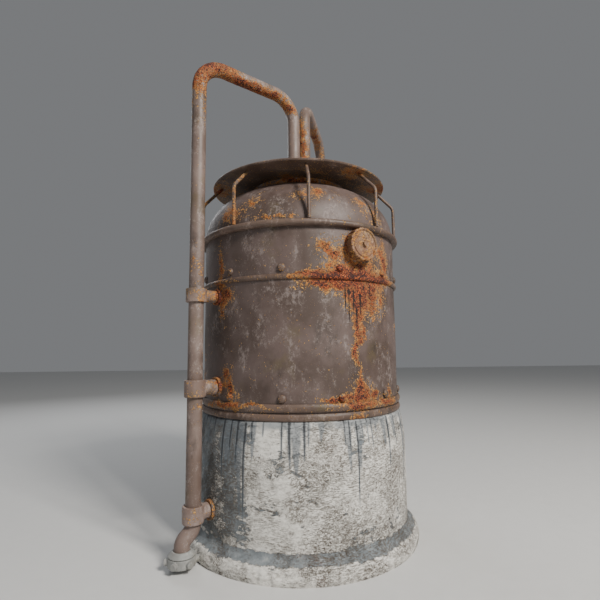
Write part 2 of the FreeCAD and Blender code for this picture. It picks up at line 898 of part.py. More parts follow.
def build_brackets():
    rows = (
        ("low", size("low_collar_level"), vessel_radius + size("plinth_step")),
        ("middle", plinth_top + size("middle_collar_rise"), vessel_radius),
        ("high", partition_hoop_low - size("high_collar_drop"), vessel_radius),
    )
    for side in ("gas", "vent"):
        azimuth = size(f"{side}_pipe_azimuth")
        for row, level, seat in rows:
            build_bracket(f"{side}_{row}", azimuth, level, size(f"{row}_collar_height"), seat)


# ---------------------------------------------------------------- filler neck and cap

def build_filler():
    azimuth = size("filler_azimuth")
    bore = size("neck_bore")
    outer = bore + size("neck_wall")
    mouth = vessel_radius + size("neck_length")
    start = vessel_radius - size("neck_flange_depth") * 2
    flange = outer + size("neck_flange_rim")
    flange_face = vessel_radius + size("neck_flange_depth")
    blank = turned("neck_blank", [
        (start, bore),
        (mouth, bore),
        (mouth, outer),
        (flange_face, outer),
        (flange_face, flange),
        (start, flange),
    ], "H_Axis")
    place(blank, z=filler_level, turn=azimuth)
    tall = flange * 3
    seat = cylinder("neck_seat", vessel_radius + seat_gap / 2, tall, z=filler_level - tall / 2)
    nodes.append(cut("filler_neck", blank, seat))

    gasket_face = mouth + size("gasket_thickness")
    gasket = turned("filler_gasket", [
        (mouth, bore + seat_gap),
        (gasket_face, bore + seat_gap),
        (gasket_face, outer - seat_gap),
        (mouth, outer - seat_gap),
    ], "H_Axis")
    place(gasket, z=filler_level, turn=azimuth)
    nodes.append(gasket)

    cap = cap_radius
    edge = size("cap_edge")
    skirt_start = flange_face + size("cap_skirt_gap")
    skirt_bore = outer + size("thread_gap")
    face = gasket_face + size("cap_plate")
    groove = face - size("cap_groove_depth")
    screw_hole = size("cap_screw_radius") + hole_gap
    body = turned("filler_cap", [
        (gasket_face, screw_hole),
        (gasket_face, skirt_bore),
        (skirt_start, skirt_bore),
        (skirt_start, cap - edge, edge, -1),
        (skirt_start + edge, cap),
        (face - edge, cap, edge, -1),
        (face, cap - edge),
        (face, size("cap_groove_outer")),
        (groove, size("cap_groove_outer")),
        (groove, size("cap_groove_inner")),
        (face, size("cap_groove_inner")),
        (face, screw_hole),
    ], "H_Axis")
    sketch = new_sketch(body, "notch", "YZ_Plane")
    draw_circle(sketch, ZERO, cap + size("cap_notch_offset"), size("cap_notch_radius"))
    notch = pocket_sketch(body, sketch, "notch_cut", face + edge, True)
    repeat_around(body, notch, "notches", size("cap_notch_count"), "X_Axis")
    place(body, z=filler_level, turn=azimuth)
    nodes.append(body)

    shank = radial_item("Part::Cylinder", "cap_screw_shank", gasket_face, ZERO, filler_level,
                        azimuth)
    bind(shank, "Radius", size("cap_screw_radius"))
    bind(shank, "Height", size("cap_plate"))
    head = radial_item("Part::Prism", "cap_screw_hexagon", face, ZERO, filler_level, azimuth)
    head.Polygon = 6
    bind(head, "Circumradius", size("cap_screw_head"))
    bind(head, "Height", size("cap_screw_head_height"))
    nodes.append(join("cap_centre_screw", [shank, head]))


# ---------------------------------------------------------------- outlet

def build_outlet(turn, length):
    """The coupling, gasket and lugged cap at the foot of the gas pipe."""
    reach = length + size("outlet_offset")
    x = gas_riser_x + reach * cosine(turn)
    y = gas_riser_y + reach * sine(turn)
    shoulder = size("coupling_shoulder")
    rim = size("coupling_radius")
    spigot = size("spigot_radius")
    spigot_low = shoulder - size("spigot_length")
    pipe_end = shoulder + seat_gap
    collar = pipe_radius + size("coupling_lip")
    socket = pipe_radius + size("collar_fit")
    coupling = turned("outlet_coupling", [
        (pipe_bore, spigot_low),
        (spigot, spigot_low),
        (spigot, shoulder),
        (rim, shoulder),
        (rim, shoulder + size("coupling_shoulder_height")),
        (collar, size("coupling_top")),
        (socket, size("coupling_top")),
        (socket, pipe_end),
        (pipe_bore, pipe_end),
    ])
    place(coupling, x, y)
    nodes.append(coupling)

    gasket_low = spigot_low - size("gasket_thickness")
    gasket = cylinder("outlet_gasket", spigot - seat_gap, size("gasket_thickness"),
                      x, y, gasket_low)
    gasket.Label = "outlet_gasket"
    nodes.append(gasket)

    cap = size("outlet_cap_radius")
    edge = size("outlet_cap_edge")
    cap_low = gasket_low - size("outlet_cap_plate")
    cap_high = shoulder - size("outlet_cap_rim_gap")
    body = turned("outlet_cap", [
        (ZERO, cap_low),
        (cap - edge, cap_low, edge, 1),
        (cap, cap_low + edge),
        (cap, cap_high),
        (spigot + size("thread_gap"), cap_high),
        (spigot + size("thread_gap"), gasket_low),
        (ZERO, gasket_low),
    ])
    doc.recompute()
    sketch = new_sketch(body, "lug", "YZ_Plane", cap - size("lug_root"))
    draw_circle(sketch, ZERO, cap_low + size("lug_level"), size("lug_radius"))
    lug = pad_sketch(body, sketch, "lug_pad", size("lug_root") + size("lug_reach"))
    repeat_around(body, lug, "lugs", size("lug_count"))
    place(body, x, y, ZERO, size("lug_azimuth"))
    nodes.append(body)


# ---------------------------------------------------------------- inside the vessel

def build_riser_and_filter():
    """The tube that carries gas through the water, and the felt filter at its foot."""
    low = partition_low - size("riser_drop")
    riser = tube("gas_riser", pipe_radius, pipe_bore, low, crown_top - seat_gap)
    place(riser, gas_riser_x, gas_riser_y)
    nodes.append(riser)

    nut_height = size("locknut_height")
    nuts = []
    for name, level in (("under", partition_low - nut_height), ("over", partition_high)):
        prism = doc.addObject("Part::Prism", f"locknut_{name}_blank")
        prism.Polygon = 6
        bind(prism, "Circumradius", size("locknut_radius"))
        bind(prism, "Height", nut_height)
        place(prism, gas_riser_x, gas_riser_y, level)
        bore = cylinder(f"locknut_{name}_bore", pipe_radius + size("collar_fit"), nut_height * 3,
                        gas_riser_x, gas_riser_y, level - nut_height)
        nuts.append(cut(f"locknut_{name}", prism, bore))
    nodes.append(group("riser_locknuts", nuts))

    outer = size("filter_radius")
    skin = size("filter_wall")
    high = partition_low - size("filter_gap")
    bottom = high - size("filter_depth")
    case = turned("filter_case", [
        (pipe_radius + size("collar_fit"), high - skin),
        (outer - skin, high - skin),
        (outer - skin, bottom),
        (outer, bottom),
        (outer, high),
        (pipe_radius + size("collar_fit"), high),
    ])
    place(case, gas_riser_x, gas_riser_y)
    nodes.append(case)

    disc = outer - skin - seat_gap
    felt_high = low - size("felt_gap")
    felt_low = felt_high - size("felt_thickness")
    felt = cylinder("filter_felt", disc, size("felt_thickness"), gas_riser_x, gas_riser_y,
                    felt_low)
    felt.Label = "filter_felt"
    nodes.append(felt)
    thickness = size("filter_plate_thickness")
    rings = [(size("filter_hole_ring"), size("filter_hole_count"))]
    plate = pierced_disc("filter_plate", disc, felt_low - thickness, thickness,
                         size("filter_hole_radius"), rings)
    place(plate, gas_riser_x, gas_riser_y)
    nodes.append(plate)


def pierced_disc(name, radius, low, thickness, hole_radius, rings):
    """A disc with rings of holes; each ring is its radius and its count."""
    body = new_body(name)
    blank = new_sketch(body, "outline", "XY_Plane", low)
    draw_circle(blank, ZERO, ZERO, radius)
    pad_sketch(body, blank, "plate", thickness)
    doc.recompute()
    for number, (ring, count) in enumerate(rings):
        sketch = new_sketch(body, f"hole_{number}", "XY_Plane", low + thickness)
        draw_circle(sketch, ring, ZERO, hole_radius)
        hole = pocket_sketch(body, sketch, f"hole_cut_{number}", thickness * 2)
        repeat_around(body, hole, f"holes_{number}", count)
    return body


def build_drip():
    """The tube that lets water down on the carbide, and its nozzle."""
    x = size("drip_x")
    y = size("drip_y")
    low = partition_high - size("drip_length")
    drip = tube("drip_tube", size("drip_radius"), size("drip_bore"), low, partition_high)
    place(drip, x, y)
    nodes.append(drip)
    cover = size("nozzle_cover")
    socket = size("drip_radius") + size("collar_fit")
    nozzle_low = low + cover - size("nozzle_length")
    nozzle = turned("drip_nozzle", [
        (size("nozzle_bore"), nozzle_low),
        (size("nozzle_bore") * 2, nozzle_low),
        (size("nozzle_radius"), low - wall),
        (size("nozzle_radius"), low + cover),
        (socket, low + cover),
        (socket, low - seat_gap),
        (size("nozzle_bore"), low - seat_gap),
    ])
    place(nozzle, x, y)
    nodes.append(nozzle)


def build_charge_holder():
    """The residue tray, the stand in it, and the carbide basket with its grate."""
    skin = size("tray_wall")
    corner = size("tray_corner")
    tray = size("tray_radius")
    tray_low = floor_high
    tray_high = tray_low + size("tray_height")
    nodes.append(turned("residue_tray", [
        (ZERO, tray_low),
        (tray - corner, tray_low, corner, 1),
        (tray, tray_low + corner),
        (tray, tray_high),
        (tray - skin, tray_high),
        (tray - skin, tray_low + corner, corner - skin, -1),
        (tray - corner, tray_low + skin),
        (ZERO, tray_low + skin),
    ]))

    leg_low = tray_low + skin
    leg_high = leg_low + size("leg_height")
    half_ring = size("stand_ring_width") / 2
    ring_high = leg_high + size("stand_ring_height")
    stand = new_body("basket_stand")
    ring = new_sketch(stand, "ring", "XY_Plane", leg_high)
    draw_circle(ring, ZERO, ZERO, size("leg_ring") + half_ring)
    draw_circle(ring, ZERO, ZERO, size("leg_ring") - half_ring)
    pad_sketch(stand, ring, "ring_pad", size("stand_ring_height"))
    doc.recompute()
    foot = new_sketch(stand, "leg", "XY_Plane", leg_low)
    draw_circle(foot, size("leg_ring"), ZERO, size("leg_radius"))
    leg = pad_sketch(stand, foot, "leg_pad", size("leg_height") + size("stand_ring_height") / 2)
    repeat_around(stand, leg, "legs", size("leg_count"))
    nodes.append(stand)

    outer = size("basket_radius")
    skin = size("basket_wall")
    high = ring_high + size("basket_height")
    basket = turned("carbide_basket", [
        (outer - size("basket_lip"), ring_high),
        (outer, ring_high),
        (outer, high),
        (outer - skin, high),
        (outer - skin, ring_high + skin),
        (outer - size("basket_lip"), ring_high + skin),
    ])
    half_slot = size("basket_slot_width") / 2
    for number in range(2):
        low = ring_high + size("basket_slot_low") + size("basket_slot_pitch") * number
        sketch = new_sketch(basket, f"slot_{number}", "YZ_Plane")
        draw_box(sketch, -half_slot, half_slot, low, low + size("basket_slot_height"))
        slot = pocket_sketch(basket, sketch, f"slot_cut_{number}", outer + skin, True)
        repeat_around(basket, slot, f"slots_{number}", size("basket_slot_count"))
    nodes.append(basket)

    rings = [
        (size("grate_inner_ring"), size("grate_inner_count")),
        (size("grate_middle_ring"), size("grate_middle_count")),
        (size("grate_outer_ring"), size("grate_outer_count")),
    ]
    nodes.append(pierced_disc("basket_grate", outer - skin - seat_gap, ring_high + skin,
                              size("grate_thickness"), size("grate_hole_radius"), rings))


# ---------------------------------------------------------------- build everything

def build_model():
    build_plinth()
    build_hoop("base_ring", plinth_top, size("base_ring_height"), size("base_ring_proud"))
    build_hoop("lower_hoop", lower_hoop_low, size("lower_hoop_height"), size("hoop_proud"))
    build_hoop("partition_hoop", partition_hoop_low, size("partition_hoop_height"),
               size("hoop_proud"))
    build_hoop("shoulder_ring", shoulder_low, size("shoulder_ring_height"),
               size("shoulder_ring_proud"))
    build_shell()
    build_floor_and_partition()
    build_rivets("lower_rivets", lower_rivet_level)
    build_rivets("upper_rivets", upper_rivet_level)
    build_dome()
    build_cover()
    build_stays()
    outlet_tail = [(ZERO, size("outlet_high")), (size("outlet_offset"), size("outlet_low")),
                   (size("outlet_offset"), size("coupling_shoulder") + seat_gap)]
    turn, length = build_pipe(
        "gas_pipe", gas_riser_x, gas_riser_y, size("gas_pipe_azimuth"), size("gas_pipe_rise"),
        (outlet_tail, [size("outlet_bend"), size("outlet_bend")]))
    build_pipe("vent_pipe", vent_riser_x, vent_riser_y, size("vent_pipe_azimuth"),
               size("vent_pipe_rise"), ([(ZERO, size("vent_pipe_end"))], []))
    build_saddle()
    build_brackets()
    build_filler()
    build_outlet(turn, length)
    build_riser_and_filter()
    build_drip()
    build_charge_holder()


def check_and_export():
    """Stop on any failed object, then write one STEP file per node."""
    doc.recompute()
    failed = [item.Name for item in doc.Objects
              if "Invalid" in item.State or "Error" in item.State]
    bad = [node.Label for node in nodes if node.Shape.isNull() or not node.Shape.isValid()]
    if failed or bad:
        raise RuntimeError(f"failed objects {failed}, bad shapes {bad}")
    os.makedirs("parts", exist_ok=True)
    for node in nodes:
        node.Shape.exportStep(f"parts/{node.Label}.step")
        print(f"{node.Label}: {len(node.Shape.Solids)} solid(s), {node.Shape.Volume:.0f} mm3")
    print(len(nodes), "nodes")


build_model()
check_and_export()
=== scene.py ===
"""Looks of a weathered carbide gas generator: rusty painted steel on a whitewashed plinth."""
import itertools
import math

import bpy
import numpy as np
from mathutils import Matrix, Vector


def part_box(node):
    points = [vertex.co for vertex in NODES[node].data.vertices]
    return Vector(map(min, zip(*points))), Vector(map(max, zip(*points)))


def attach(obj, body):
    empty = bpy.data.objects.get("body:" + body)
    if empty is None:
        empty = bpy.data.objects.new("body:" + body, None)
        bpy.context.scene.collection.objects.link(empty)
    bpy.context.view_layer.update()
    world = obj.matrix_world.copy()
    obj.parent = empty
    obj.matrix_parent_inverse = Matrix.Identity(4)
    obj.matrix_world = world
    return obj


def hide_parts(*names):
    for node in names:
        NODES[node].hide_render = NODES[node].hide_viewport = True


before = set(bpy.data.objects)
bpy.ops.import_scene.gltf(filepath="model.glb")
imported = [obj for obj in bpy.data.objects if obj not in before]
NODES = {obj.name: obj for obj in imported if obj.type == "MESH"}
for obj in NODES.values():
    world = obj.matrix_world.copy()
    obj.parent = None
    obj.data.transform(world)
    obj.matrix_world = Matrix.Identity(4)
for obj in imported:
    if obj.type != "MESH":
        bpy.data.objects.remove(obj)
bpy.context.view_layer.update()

LEFT, RIGHT = 1, -1


# ---------------------------------------------------------------- sizes in metres, angles in degrees

def low(node):
    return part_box(node)[0]


def high(node):
    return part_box(node)[1]


VESSEL = high("vessel_shell").x
PLINTH_TOP = high("plinth").z
SEAM = high("vessel_shell").z
CROWN = high("dome_head").z
DISC = high("cover_disc").x
DISC_LOW, DISC_HIGH = low("cover_disc").z, high("cover_disc").z
WALL = 0.003
PIPE = 0.01685
PIPE_REACH = 0.305
RIVET_COUNT, RIVET_FIRST, RIVET_STEP = 12, 261, 30
RIVET_HEAD, RIVET_LIFT = 0.0095, 0.0060
STAY_COUNT, STAY_FIRST, STAY_STEP, STAY_RADIUS = 9, -125, 40, 0.004
CAMERA_PLACE = (0, -1.1747, 0.45422)
CAMERA_PITCH, CAMERA_ROLL, CAMERA_YAW = 6.41, -0.67, 0.05
CAMERA_LENS, CAMERA_SENSOR = 26.14, 36


def polar(reach, azimuth, level):
    turn = math.radians(azimuth)
    return np.array([reach * math.cos(turn), reach * math.sin(turn), level])


# ---------------------------------------------------------------- noise over space

def hashed(cell, seed):
    """An even random number from 0 to 1 for each lattice cell, the same on every run."""
    key = cell[:, 0] * 73856093 ^ cell[:, 1] * 19349663 ^ cell[:, 2] * 83492791 ^ (seed * 2654435761)
    key = (key ^ (key >> 13)) * 1274126177 & 0xFFFFFFFF
    key = (key ^ (key >> 16)) * 2246822519 & 0xFFFFFFFF
    return (key ^ (key >> 15)) / 0xFFFFFFFF


def noise(points, bump, seed=0):
    """Smooth noise from -1 to 1, with bumps about this many metres wide."""
    grid = np.asarray(points) / bump
    cell = np.floor(grid).astype(np.int64)
    part = grid - cell
    part = part * part * (3 - 2 * part)
    total = np.zeros(len(grid))
    for corner in itertools.product((0, 1), repeat=3):
        weight = np.prod(np.where(corner, part, 1 - part), axis=1)
        total += weight * hashed(cell + np.array(corner), seed)
    return total * 2 - 1


def clouds(points, bump, seed=0, layers=4):
    return sum(noise(points, bump / 2 ** n, seed + n) * 0.55 ** n for n in range(layers))


def ramp(values, start, end):
    part = np.clip((values - start) / (end - start), 0, 1)
    return part * part * (3 - 2 * part)


# ---------------------------------------------------------------- stains

# azimuth in degrees, reach and level in metres, half width, half height, strength
RUST = [
    # partition hoop and the run under the filler
    (297, 0.25, 0.612, 0.062, 0.012, 1.0), (283, 0.25, 0.612, 0.040, 0.008, 1.0),
    (318, 0.25, 0.612, 0.050, 0.010, 0.85), (272, 0.25, 0.612, 0.020, 0.005, 0.8),
    (289, 0.25, 0.625, 0.034, 0.008, 0.95), (281, 0.25, 0.592, 0.036, 0.011, 0.9),
    (292, 0.25, 0.594, 0.030, 0.008, 0.8), (300, 0.25, 0.580, 0.030, 0.030, 0.95),
    (311, 0.25, 0.580, 0.024, 0.034, 0.85), (320, 0.25, 0.570, 0.016, 0.040, 0.62),
    (303, 0.25, 0.545, 0.026, 0.022, 0.9), (312, 0.25, 0.535, 0.010, 0.020, 0.7),
    (299, 0.25, 0.510, 0.010, 0.040, 0.95), (303, 0.25, 0.500, 0.006, 0.030, 0.7),
    (300, 0.25, 0.455, 0.007, 0.035, 0.95), (301, 0.25, 0.410, 0.006, 0.030, 0.92),
    (296, 0.25, 0.545, 0.006, 0.030, 0.8),
    # mound above the lower hoop
    (302, 0.25, 0.362, 0.024, 0.012, 1.0), (301, 0.25, 0.378, 0.010, 0.012, 0.9),
    (302, 0.25, 0.347, 0.044, 0.007, 1.0), (287, 0.25, 0.346, 0.030, 0.005, 0.95),
    (312, 0.25, 0.352, 0.014, 0.008, 0.8), (301, 0.25, 0.332, 0.055, 0.008, 0.85),
    (322, 0.25, 0.334, 0.025, 0.007, 0.8), (327, 0.25, 0.352, 0.009, 0.011, 0.85),
    (298, 0.25, 0.312, 0.030, 0.005, 0.62), (243, 0.25, 0.334, 0.060, 0.005, 0.6),
    # round the filler
    (284, 0.25, 0.676, 0.020, 0.018, 0.72), (289, 0.25, 0.655, 0.026, 0.014, 0.74),
    (303, 0.25, 0.640, 0.030, 0.012, 0.8), (322, 0.25, 0.672, 0.020, 0.034, 0.76),
    (324, 0.25, 0.640, 0.022, 0.022, 0.6), (302, 0.245, 0.683, 0.036, 0.036, 0.8),
    # by the gas pipe's brackets
    (228, 0.25, 0.404, 0.017, 0.014, 0.72), (231, 0.25, 0.372, 0.012, 0.026, 0.85),
    (225, 0.25, 0.378, 0.022, 0.008, 0.8), (236, 0.25, 0.352, 0.008, 0.014, 0.8),
    (227, 0.25, 0.577, 0.026, 0.020, 0.9), (222, 0.25, 0.640, 0.012, 0.050, 0.75),
    (224, 0.25, 0.540, 0.010, 0.020, 0.62), (226, 0.25, 0.332, 0.050, 0.008, 0.75),
    # dome
    (272, 0.218, 0.795, 0.018, 0.020, 0.66), (282, 0.218, 0.800, 0.024, 0.018, 0.76),
    (243, 0.225, 0.785, 0.018, 0.020, 0.66), (307, 0.228, 0.785, 0.020, 0.022, 0.72),
    (228, 0.238, 0.765, 0.030, 0.022, 0.72), (318, 0.240, 0.760, 0.020, 0.026, 0.6),
    (258, 0.245, 0.748, 0.060, 0.006, 0.62), (276, 0.110, 0.872, 0.070, 0.010, 0.8),
    # round the back and the far side
    (20, 0.25, 0.604, 0.060, 0.014, 0.9), (30, 0.25, 0.560, 0.016, 0.050, 0.8),
    (75, 0.25, 0.575, 0.026, 0.020, 0.85), (75, 0.25, 0.352, 0.040, 0.012, 0.9),
    (100, 0.25, 0.612, 0.060, 0.010, 0.85), (96, 0.25, 0.570, 0.008, 0.050, 0.75),
    (140, 0.25, 0.340, 0.070, 0.008, 0.85), (160, 0.25, 0.604, 0.050, 0.014, 0.9),
    (163, 0.25, 0.550, 0.016, 0.050, 0.85), (50, 0.228, 0.785, 0.040, 0.024, 0.72),
    (120, 0.225, 0.790, 0.050, 0.020, 0.72), (180, 0.230, 0.780, 0.034, 0.026, 0.72),
    (10, 0.25, 0.340, 0.070, 0.008, 0.85), (195, 0.25, 0.400, 0.020, 0.040, 0.7),
    (345, 0.25, 0.500, 0.030, 0.012, 0.62), (110, 0.25, 0.450, 0.020, 0.030, 0.66),
    # cover disc
    (311, 0.205, 0.880, 0.036, 0.010, 0.70), (225, 0.05, 0.884, 0.045, 0.010, 0.85),
    (60, 0.10, 0.886, 0.070, 0.010, 0.7), (150, 0.18, 0.886, 0.050, 0.010, 0.7),
    (190, 0.225, 0.880, 0.060, 0.010, 0.66), (350, 0.225, 0.884, 0.060, 0.010, 0.66),
    # gas pipe
    (220, 0.292, 1.132, 0.040, 0.036, 1.0), (220, 0.245, 1.150, 0.040, 0.020, 0.9),
    (219, 0.305, 1.085, 0.026, 0.030, 0.8), (218, 0.312, 1.045, 0.014, 0.030, 0.9),
    (222, 0.185, 1.130, 0.060, 0.011, 0.85), (235, 0.110, 1.128, 0.050, 0.012, 0.8),
    (243, 0.050, 1.112, 0.030, 0.014, 0.75), (228, 0.300, 0.985, 0.010, 0.036, 0.8),
    (222, 0.295, 1.020, 0.010, 0.020, 0.6),
    (250, 0.030, 0.912, 0.024, 0.018, 1.0), (250, 0.034, 0.945, 0.012, 0.014, 0.62),
    (228, 0.297, 0.628, 0.016, 0.034, 0.86), (222, 0.315, 0.650, 0.010, 0.020, 0.6),
    (228, 0.300, 0.548, 0.014, 0.020, 0.7), (229, 0.297, 0.330, 0.013, 0.020, 0.85),
    (230, 0.293, 0.272, 0.010, 0.060, 0.92), (230, 0.293, 0.190, 0.006, 0.050, 0.75),
    (226, 0.300, 0.450, 0.008, 0.030, 0.5),
    # vent pipe
    (0, 0.010, 1.080, 0.016, 0.030, 0.7), (340, 0.010, 1.020, 0.014, 0.050, 0.75),
    (330, 0.010, 0.930, 0.016, 0.050, 0.66), (76, 0.200, 1.138, 0.080, 0.012, 0.85),
    (75, 0.295, 1.030, 0.018, 0.080, 0.92), (75, 0.300, 0.930, 0.018, 0.050, 0.8),
    (75, 0.310, 0.500, 0.014, 0.050, 0.7), (75, 0.305, 0.085, 0.025, 0.030, 0.95),
]

# azimuth, top level, length, half width and strength of each dark run down the shell
SHELL_RUNS = [
    (293.5, 0.600, 0.075, 0.0022, 0.9), (295.5, 0.600, 0.105, 0.0020, 0.85),
    (298.5, 0.585, 0.090, 0.0028, 0.9), (300, 0.545, 0.120, 0.0024, 0.9),
    (302.5, 0.575, 0.055, 0.0040, 0.95), (305, 0.600, 0.085, 0.0020, 0.85),
    (308, 0.600, 0.050, 0.0022, 0.7), (309.5, 0.600, 0.095, 0.0016, 0.8),
    (314, 0.600, 0.060, 0.0018, 0.8), (290.5, 0.600, 0.030, 0.0022, 0.7),
    (224, 0.560, 0.050, 0.0020, 0.7), (229, 0.560, 0.030, 0.0022, 0.6),
    (28, 0.600, 0.120, 0.0028, 0.8), (33, 0.600, 0.070, 0.0024, 0.8),
    (161, 0.600, 0.130, 0.0030, 0.9), (166, 0.600, 0.080, 0.0022, 0.8),
]


def rust_at(points):
    """How rusty each point is, from 0 to 1."""
    sway = np.stack([noise(points, 0.034, 101 + n) * 0.010 + noise(points, 0.011, 111 + n) * 0.005
                     for n in range(3)], 1)
    moved = points + sway
    sound = np.ones(len(points))
    for azimuth, reach, level, wide, tall, strength in RUST:
        offset = moved - polar(reach, azimuth, level)
        spread = (offset[:, 0] ** 2 + offset[:, 1] ** 2) / wide ** 2 + offset[:, 2] ** 2 / tall ** 2
        sound *= 1 - strength * np.exp(-spread ** 0.75)
    return 1 - sound


def runs_at(points, runs):
    """How dark each point is from the liquid that ran down in these stripes."""
    azimuth = np.degrees(np.arctan2(points[:, 1], points[:, 0])) % 360
    reach = np.hypot(points[:, 0], points[:, 1])
    sway = noise(points * (1, 1, 0.3), 0.012, 91) * 0.0012
    dark = np.zeros(len(points))
    for place, top, length, wide, strength in runs:
        aside = np.radians((azimuth - place + 180) % 360 - 180) * reach + sway
        fall = (top - points[:, 2]) / length
        width = wide * np.clip(1.15 - fall, 0.25, 1)
        stripe = np.exp(-(aside / width) ** 2) * ramp(fall, 0, 0.04) * (1 - ramp(fall, 0.7, 1.1))
        dark = np.maximum(dark, stripe * strength)
    return dark


# ---------------------------------------------------------------- meshes

def rounded(points, radii, closed=False):
    """A route through the points with its corners turned into arcs."""
    spots = [np.array(p, float) for p in points]
    count = len(spots)
    line = []
    for number, (spot, radius) in enumerate(zip(spots, radii)):
        if radius == 0 or (not closed and number in (0, count - 1)):
            line.append(spot)
            continue
        back = spots[number - 1] - spot
        ahead = spots[(number + 1) % count] - spot
        back, ahead = back / np.linalg.norm(back), ahead / np.linalg.norm(ahead)
        half = math.acos(np.clip(np.dot(back, ahead), -1, 1)) / 2
        middle = (back + ahead) / np.linalg.norm(back + ahead)
        centre = spot + middle * radius / math.sin(half)
        first = spot + back * radius / math.tan(half) - centre
        last = spot + ahead * radius / math.tan(half) - centre
        swing = math.pi - 2 * half
        steps = max(3, int(swing / 0.08))
        for step in range(steps + 1):
            part = step / steps
            mixed = first * math.sin((1 - part) * swing) + last * math.sin(part * swing)
            line.append(centre + mixed / math.sin(swing))
    return np.array(line)


def bow(start, end, radius, side, step):
    """Points of the short arc from start to end, without its end; LEFT has its centre left."""
    start, end = np.array(start, float), np.array(end, float)
    chord = end - start
    length = np.linalg.norm(chord)
    across = np.array([-chord[1], chord[0]]) / length
    centre = (start + end) / 2 + across * side * math.sqrt(radius ** 2 - length ** 2 / 4)
    first = math.atan2(*(start - centre)[::-1])
    swing = 2 * math.asin(length / 2 / radius) * side
    count = max(2, int(abs(swing) * radius / step))
    turns = first + swing * np.arange(count) / count
    return centre + radius * np.stack([np.cos(turns), np.sin(turns)], 1)


def profile(steps, step=0.003):
    """Points along a closed outline of (r, z) for lines and (r, z, radius, side) for arcs."""
    points = []
    for number, place in enumerate(steps):
        after = steps[(number + 1) % len(steps)]
        start, end = np.array(place[:2], float), np.array(after[:2], float)
        if len(place) > 2:
            points.extend(bow(start, end, place[2], place[3], step))
        else:
            count = max(1, round(np.linalg.norm(end - start) / step))
            points.extend(start + (end - start) * n / count for n in range(count))
    return np.array(points)


def mesh_piece(name, points, faces, smooth_angle=40):
    mesh = bpy.data.meshes.new(name)
    mesh.from_pydata([tuple(p) for p in points], [], faces)
    mesh.validate()
    mesh.shade_smooth()
    mesh.set_sharp_from_angle(angle=math.radians(smooth_angle))
    piece = bpy.data.objects.new(name, mesh)
    bpy.context.scene.collection.objects.link(piece)
    return piece


def turned(name, outline, around=420):
    """A closed solid turned about Z from an outline that may touch the axis at its two ends."""
    rings, points, faces = [], [], []
    turns = np.linspace(0, math.tau, around, endpoint=False)
    for reach, level in outline:
        if reach < 1e-6:
            rings.append([len(points)] * around)
            points.append((0, 0, level))
        else:
            rings.append(range(len(points), len(points) + around))
            points.extend((reach * math.cos(t), reach * math.sin(t), level) for t in turns)
    for one, two in zip(rings, rings[1:] + rings[:1]):
        if one[0] == one[-1] and two[0] == two[-1]:
            continue
        for n in range(around):
            corner = (one[n], one[(n + 1) % around], two[(n + 1) % around], two[n])
            faces.append(tuple(dict.fromkeys(corner)))
    return mesh_piece(name, points, faces)


def swept(name, line, radius, around=40, step=0.004):
    """A closed round bar along a line."""
    gaps = np.linalg.norm(np.diff(line, axis=0), axis=1)
    travel = np.concatenate([[0], np.cumsum(gaps)])
    count = max(2, int(travel[-1] / step))
    spots = np.stack([np.interp(np.linspace(0, travel[-1], count), travel, line[:, n])
                      for n in range(3)], 1)
    along = np.gradient(spots, axis=0)
    along /= np.linalg.norm(along, axis=1)[:, None]
    side = np.cross(line[-1] - line[0], along.sum(0) + (0.3, 0.7, 0.1))
    side /= np.linalg.norm(side)
    points, faces = [], []
    for spot, way in zip(spots, along):
        side = side - way * np.dot(side, way)
        side /= np.linalg.norm(side)
        up = np.cross(way, side)
        for n in range(around):
            turn = math.tau * n / around
            points.append(spot + radius * (math.cos(turn) * side + math.sin(turn) * up))
    for row in range(count - 1):
        for n in range(around):
            a, b = row * around + n, row * around + (n + 1) % around
            faces.append((a, b, b + around, a + around))
    faces.append(tuple(range(around))[::-1])
    faces.append(tuple(range((count - 1) * around, count * around)))
    return mesh_piece(name, points, faces, 50)


def evaluated(piece):
    """Apply the piece's modifiers."""
    graph = bpy.context.evaluated_depsgraph_get()
    mesh = bpy.data.meshes.new_from_object(piece.evaluated_get(graph))
    piece.modifiers.clear()
    piece.data = mesh
    return piece


def cast_copy(node, grain):
    """A copy of a CAD node with the soft edges of a casting."""
    piece = bpy.data.objects.new(node + "_cast", NODES[node].data.copy())
    piece.data.materials.clear()
    bpy.context.scene.collection.objects.link(piece)
    weld = piece.modifiers.new("weld", "WELD")
    weld.merge_threshold = 1e-5
    remesh = piece.modifiers.new("remesh", "REMESH")
    remesh.mode = "VOXEL"
    remesh.voxel_size = grain
    smooth = piece.modifiers.new("smooth", "SMOOTH")
    smooth.factor = 0.5
    smooth.iterations = 3
    evaluated(piece)
    piece.data.shade_smooth()
    return piece


def coordinates(piece):
    points = np.zeros(len(piece.data.vertices) * 3, np.float32)
    piece.data.vertices.foreach_get("co", points)
    return points.reshape(-1, 3).astype(float)


def push(piece, amount, along=None):
    """Move the vertices by amount along their normals, or along one direction."""
    points = coordinates(piece)
    if along is None:
        normals = np.zeros(len(points) * 3, np.float32)
        piece.data.vertices.foreach_get("normal", normals)
        along = normals.reshape(-1, 3)
    points = points + np.asarray(along) * np.asarray(amount)[:, None]
    piece.data.vertices.foreach_set("co", points.astype(np.float32).ravel())
    piece.data.update()


def mark(piece, name, values):
    layer = piece.data.attributes.new(name, "FLOAT", "POINT")
    layer.data.foreach_set("value", np.asarray(values, np.float32))


def weather(piece, extra=0.0, blister=0.0007):
    """Give a steel piece its rust mask and the blisters that go with it."""
    points = coordinates(piece)
    rust = np.clip(rust_at(points) + extra, 0, 1)
    bumps = np.abs(noise(points, 0.006, 5)) + 0.6 * noise(points, 0.003, 6)
    push(piece, bumps * blister * ramp(rust, 0.35, 0.8))
    mark(piece, "rust", rust)
    return piece


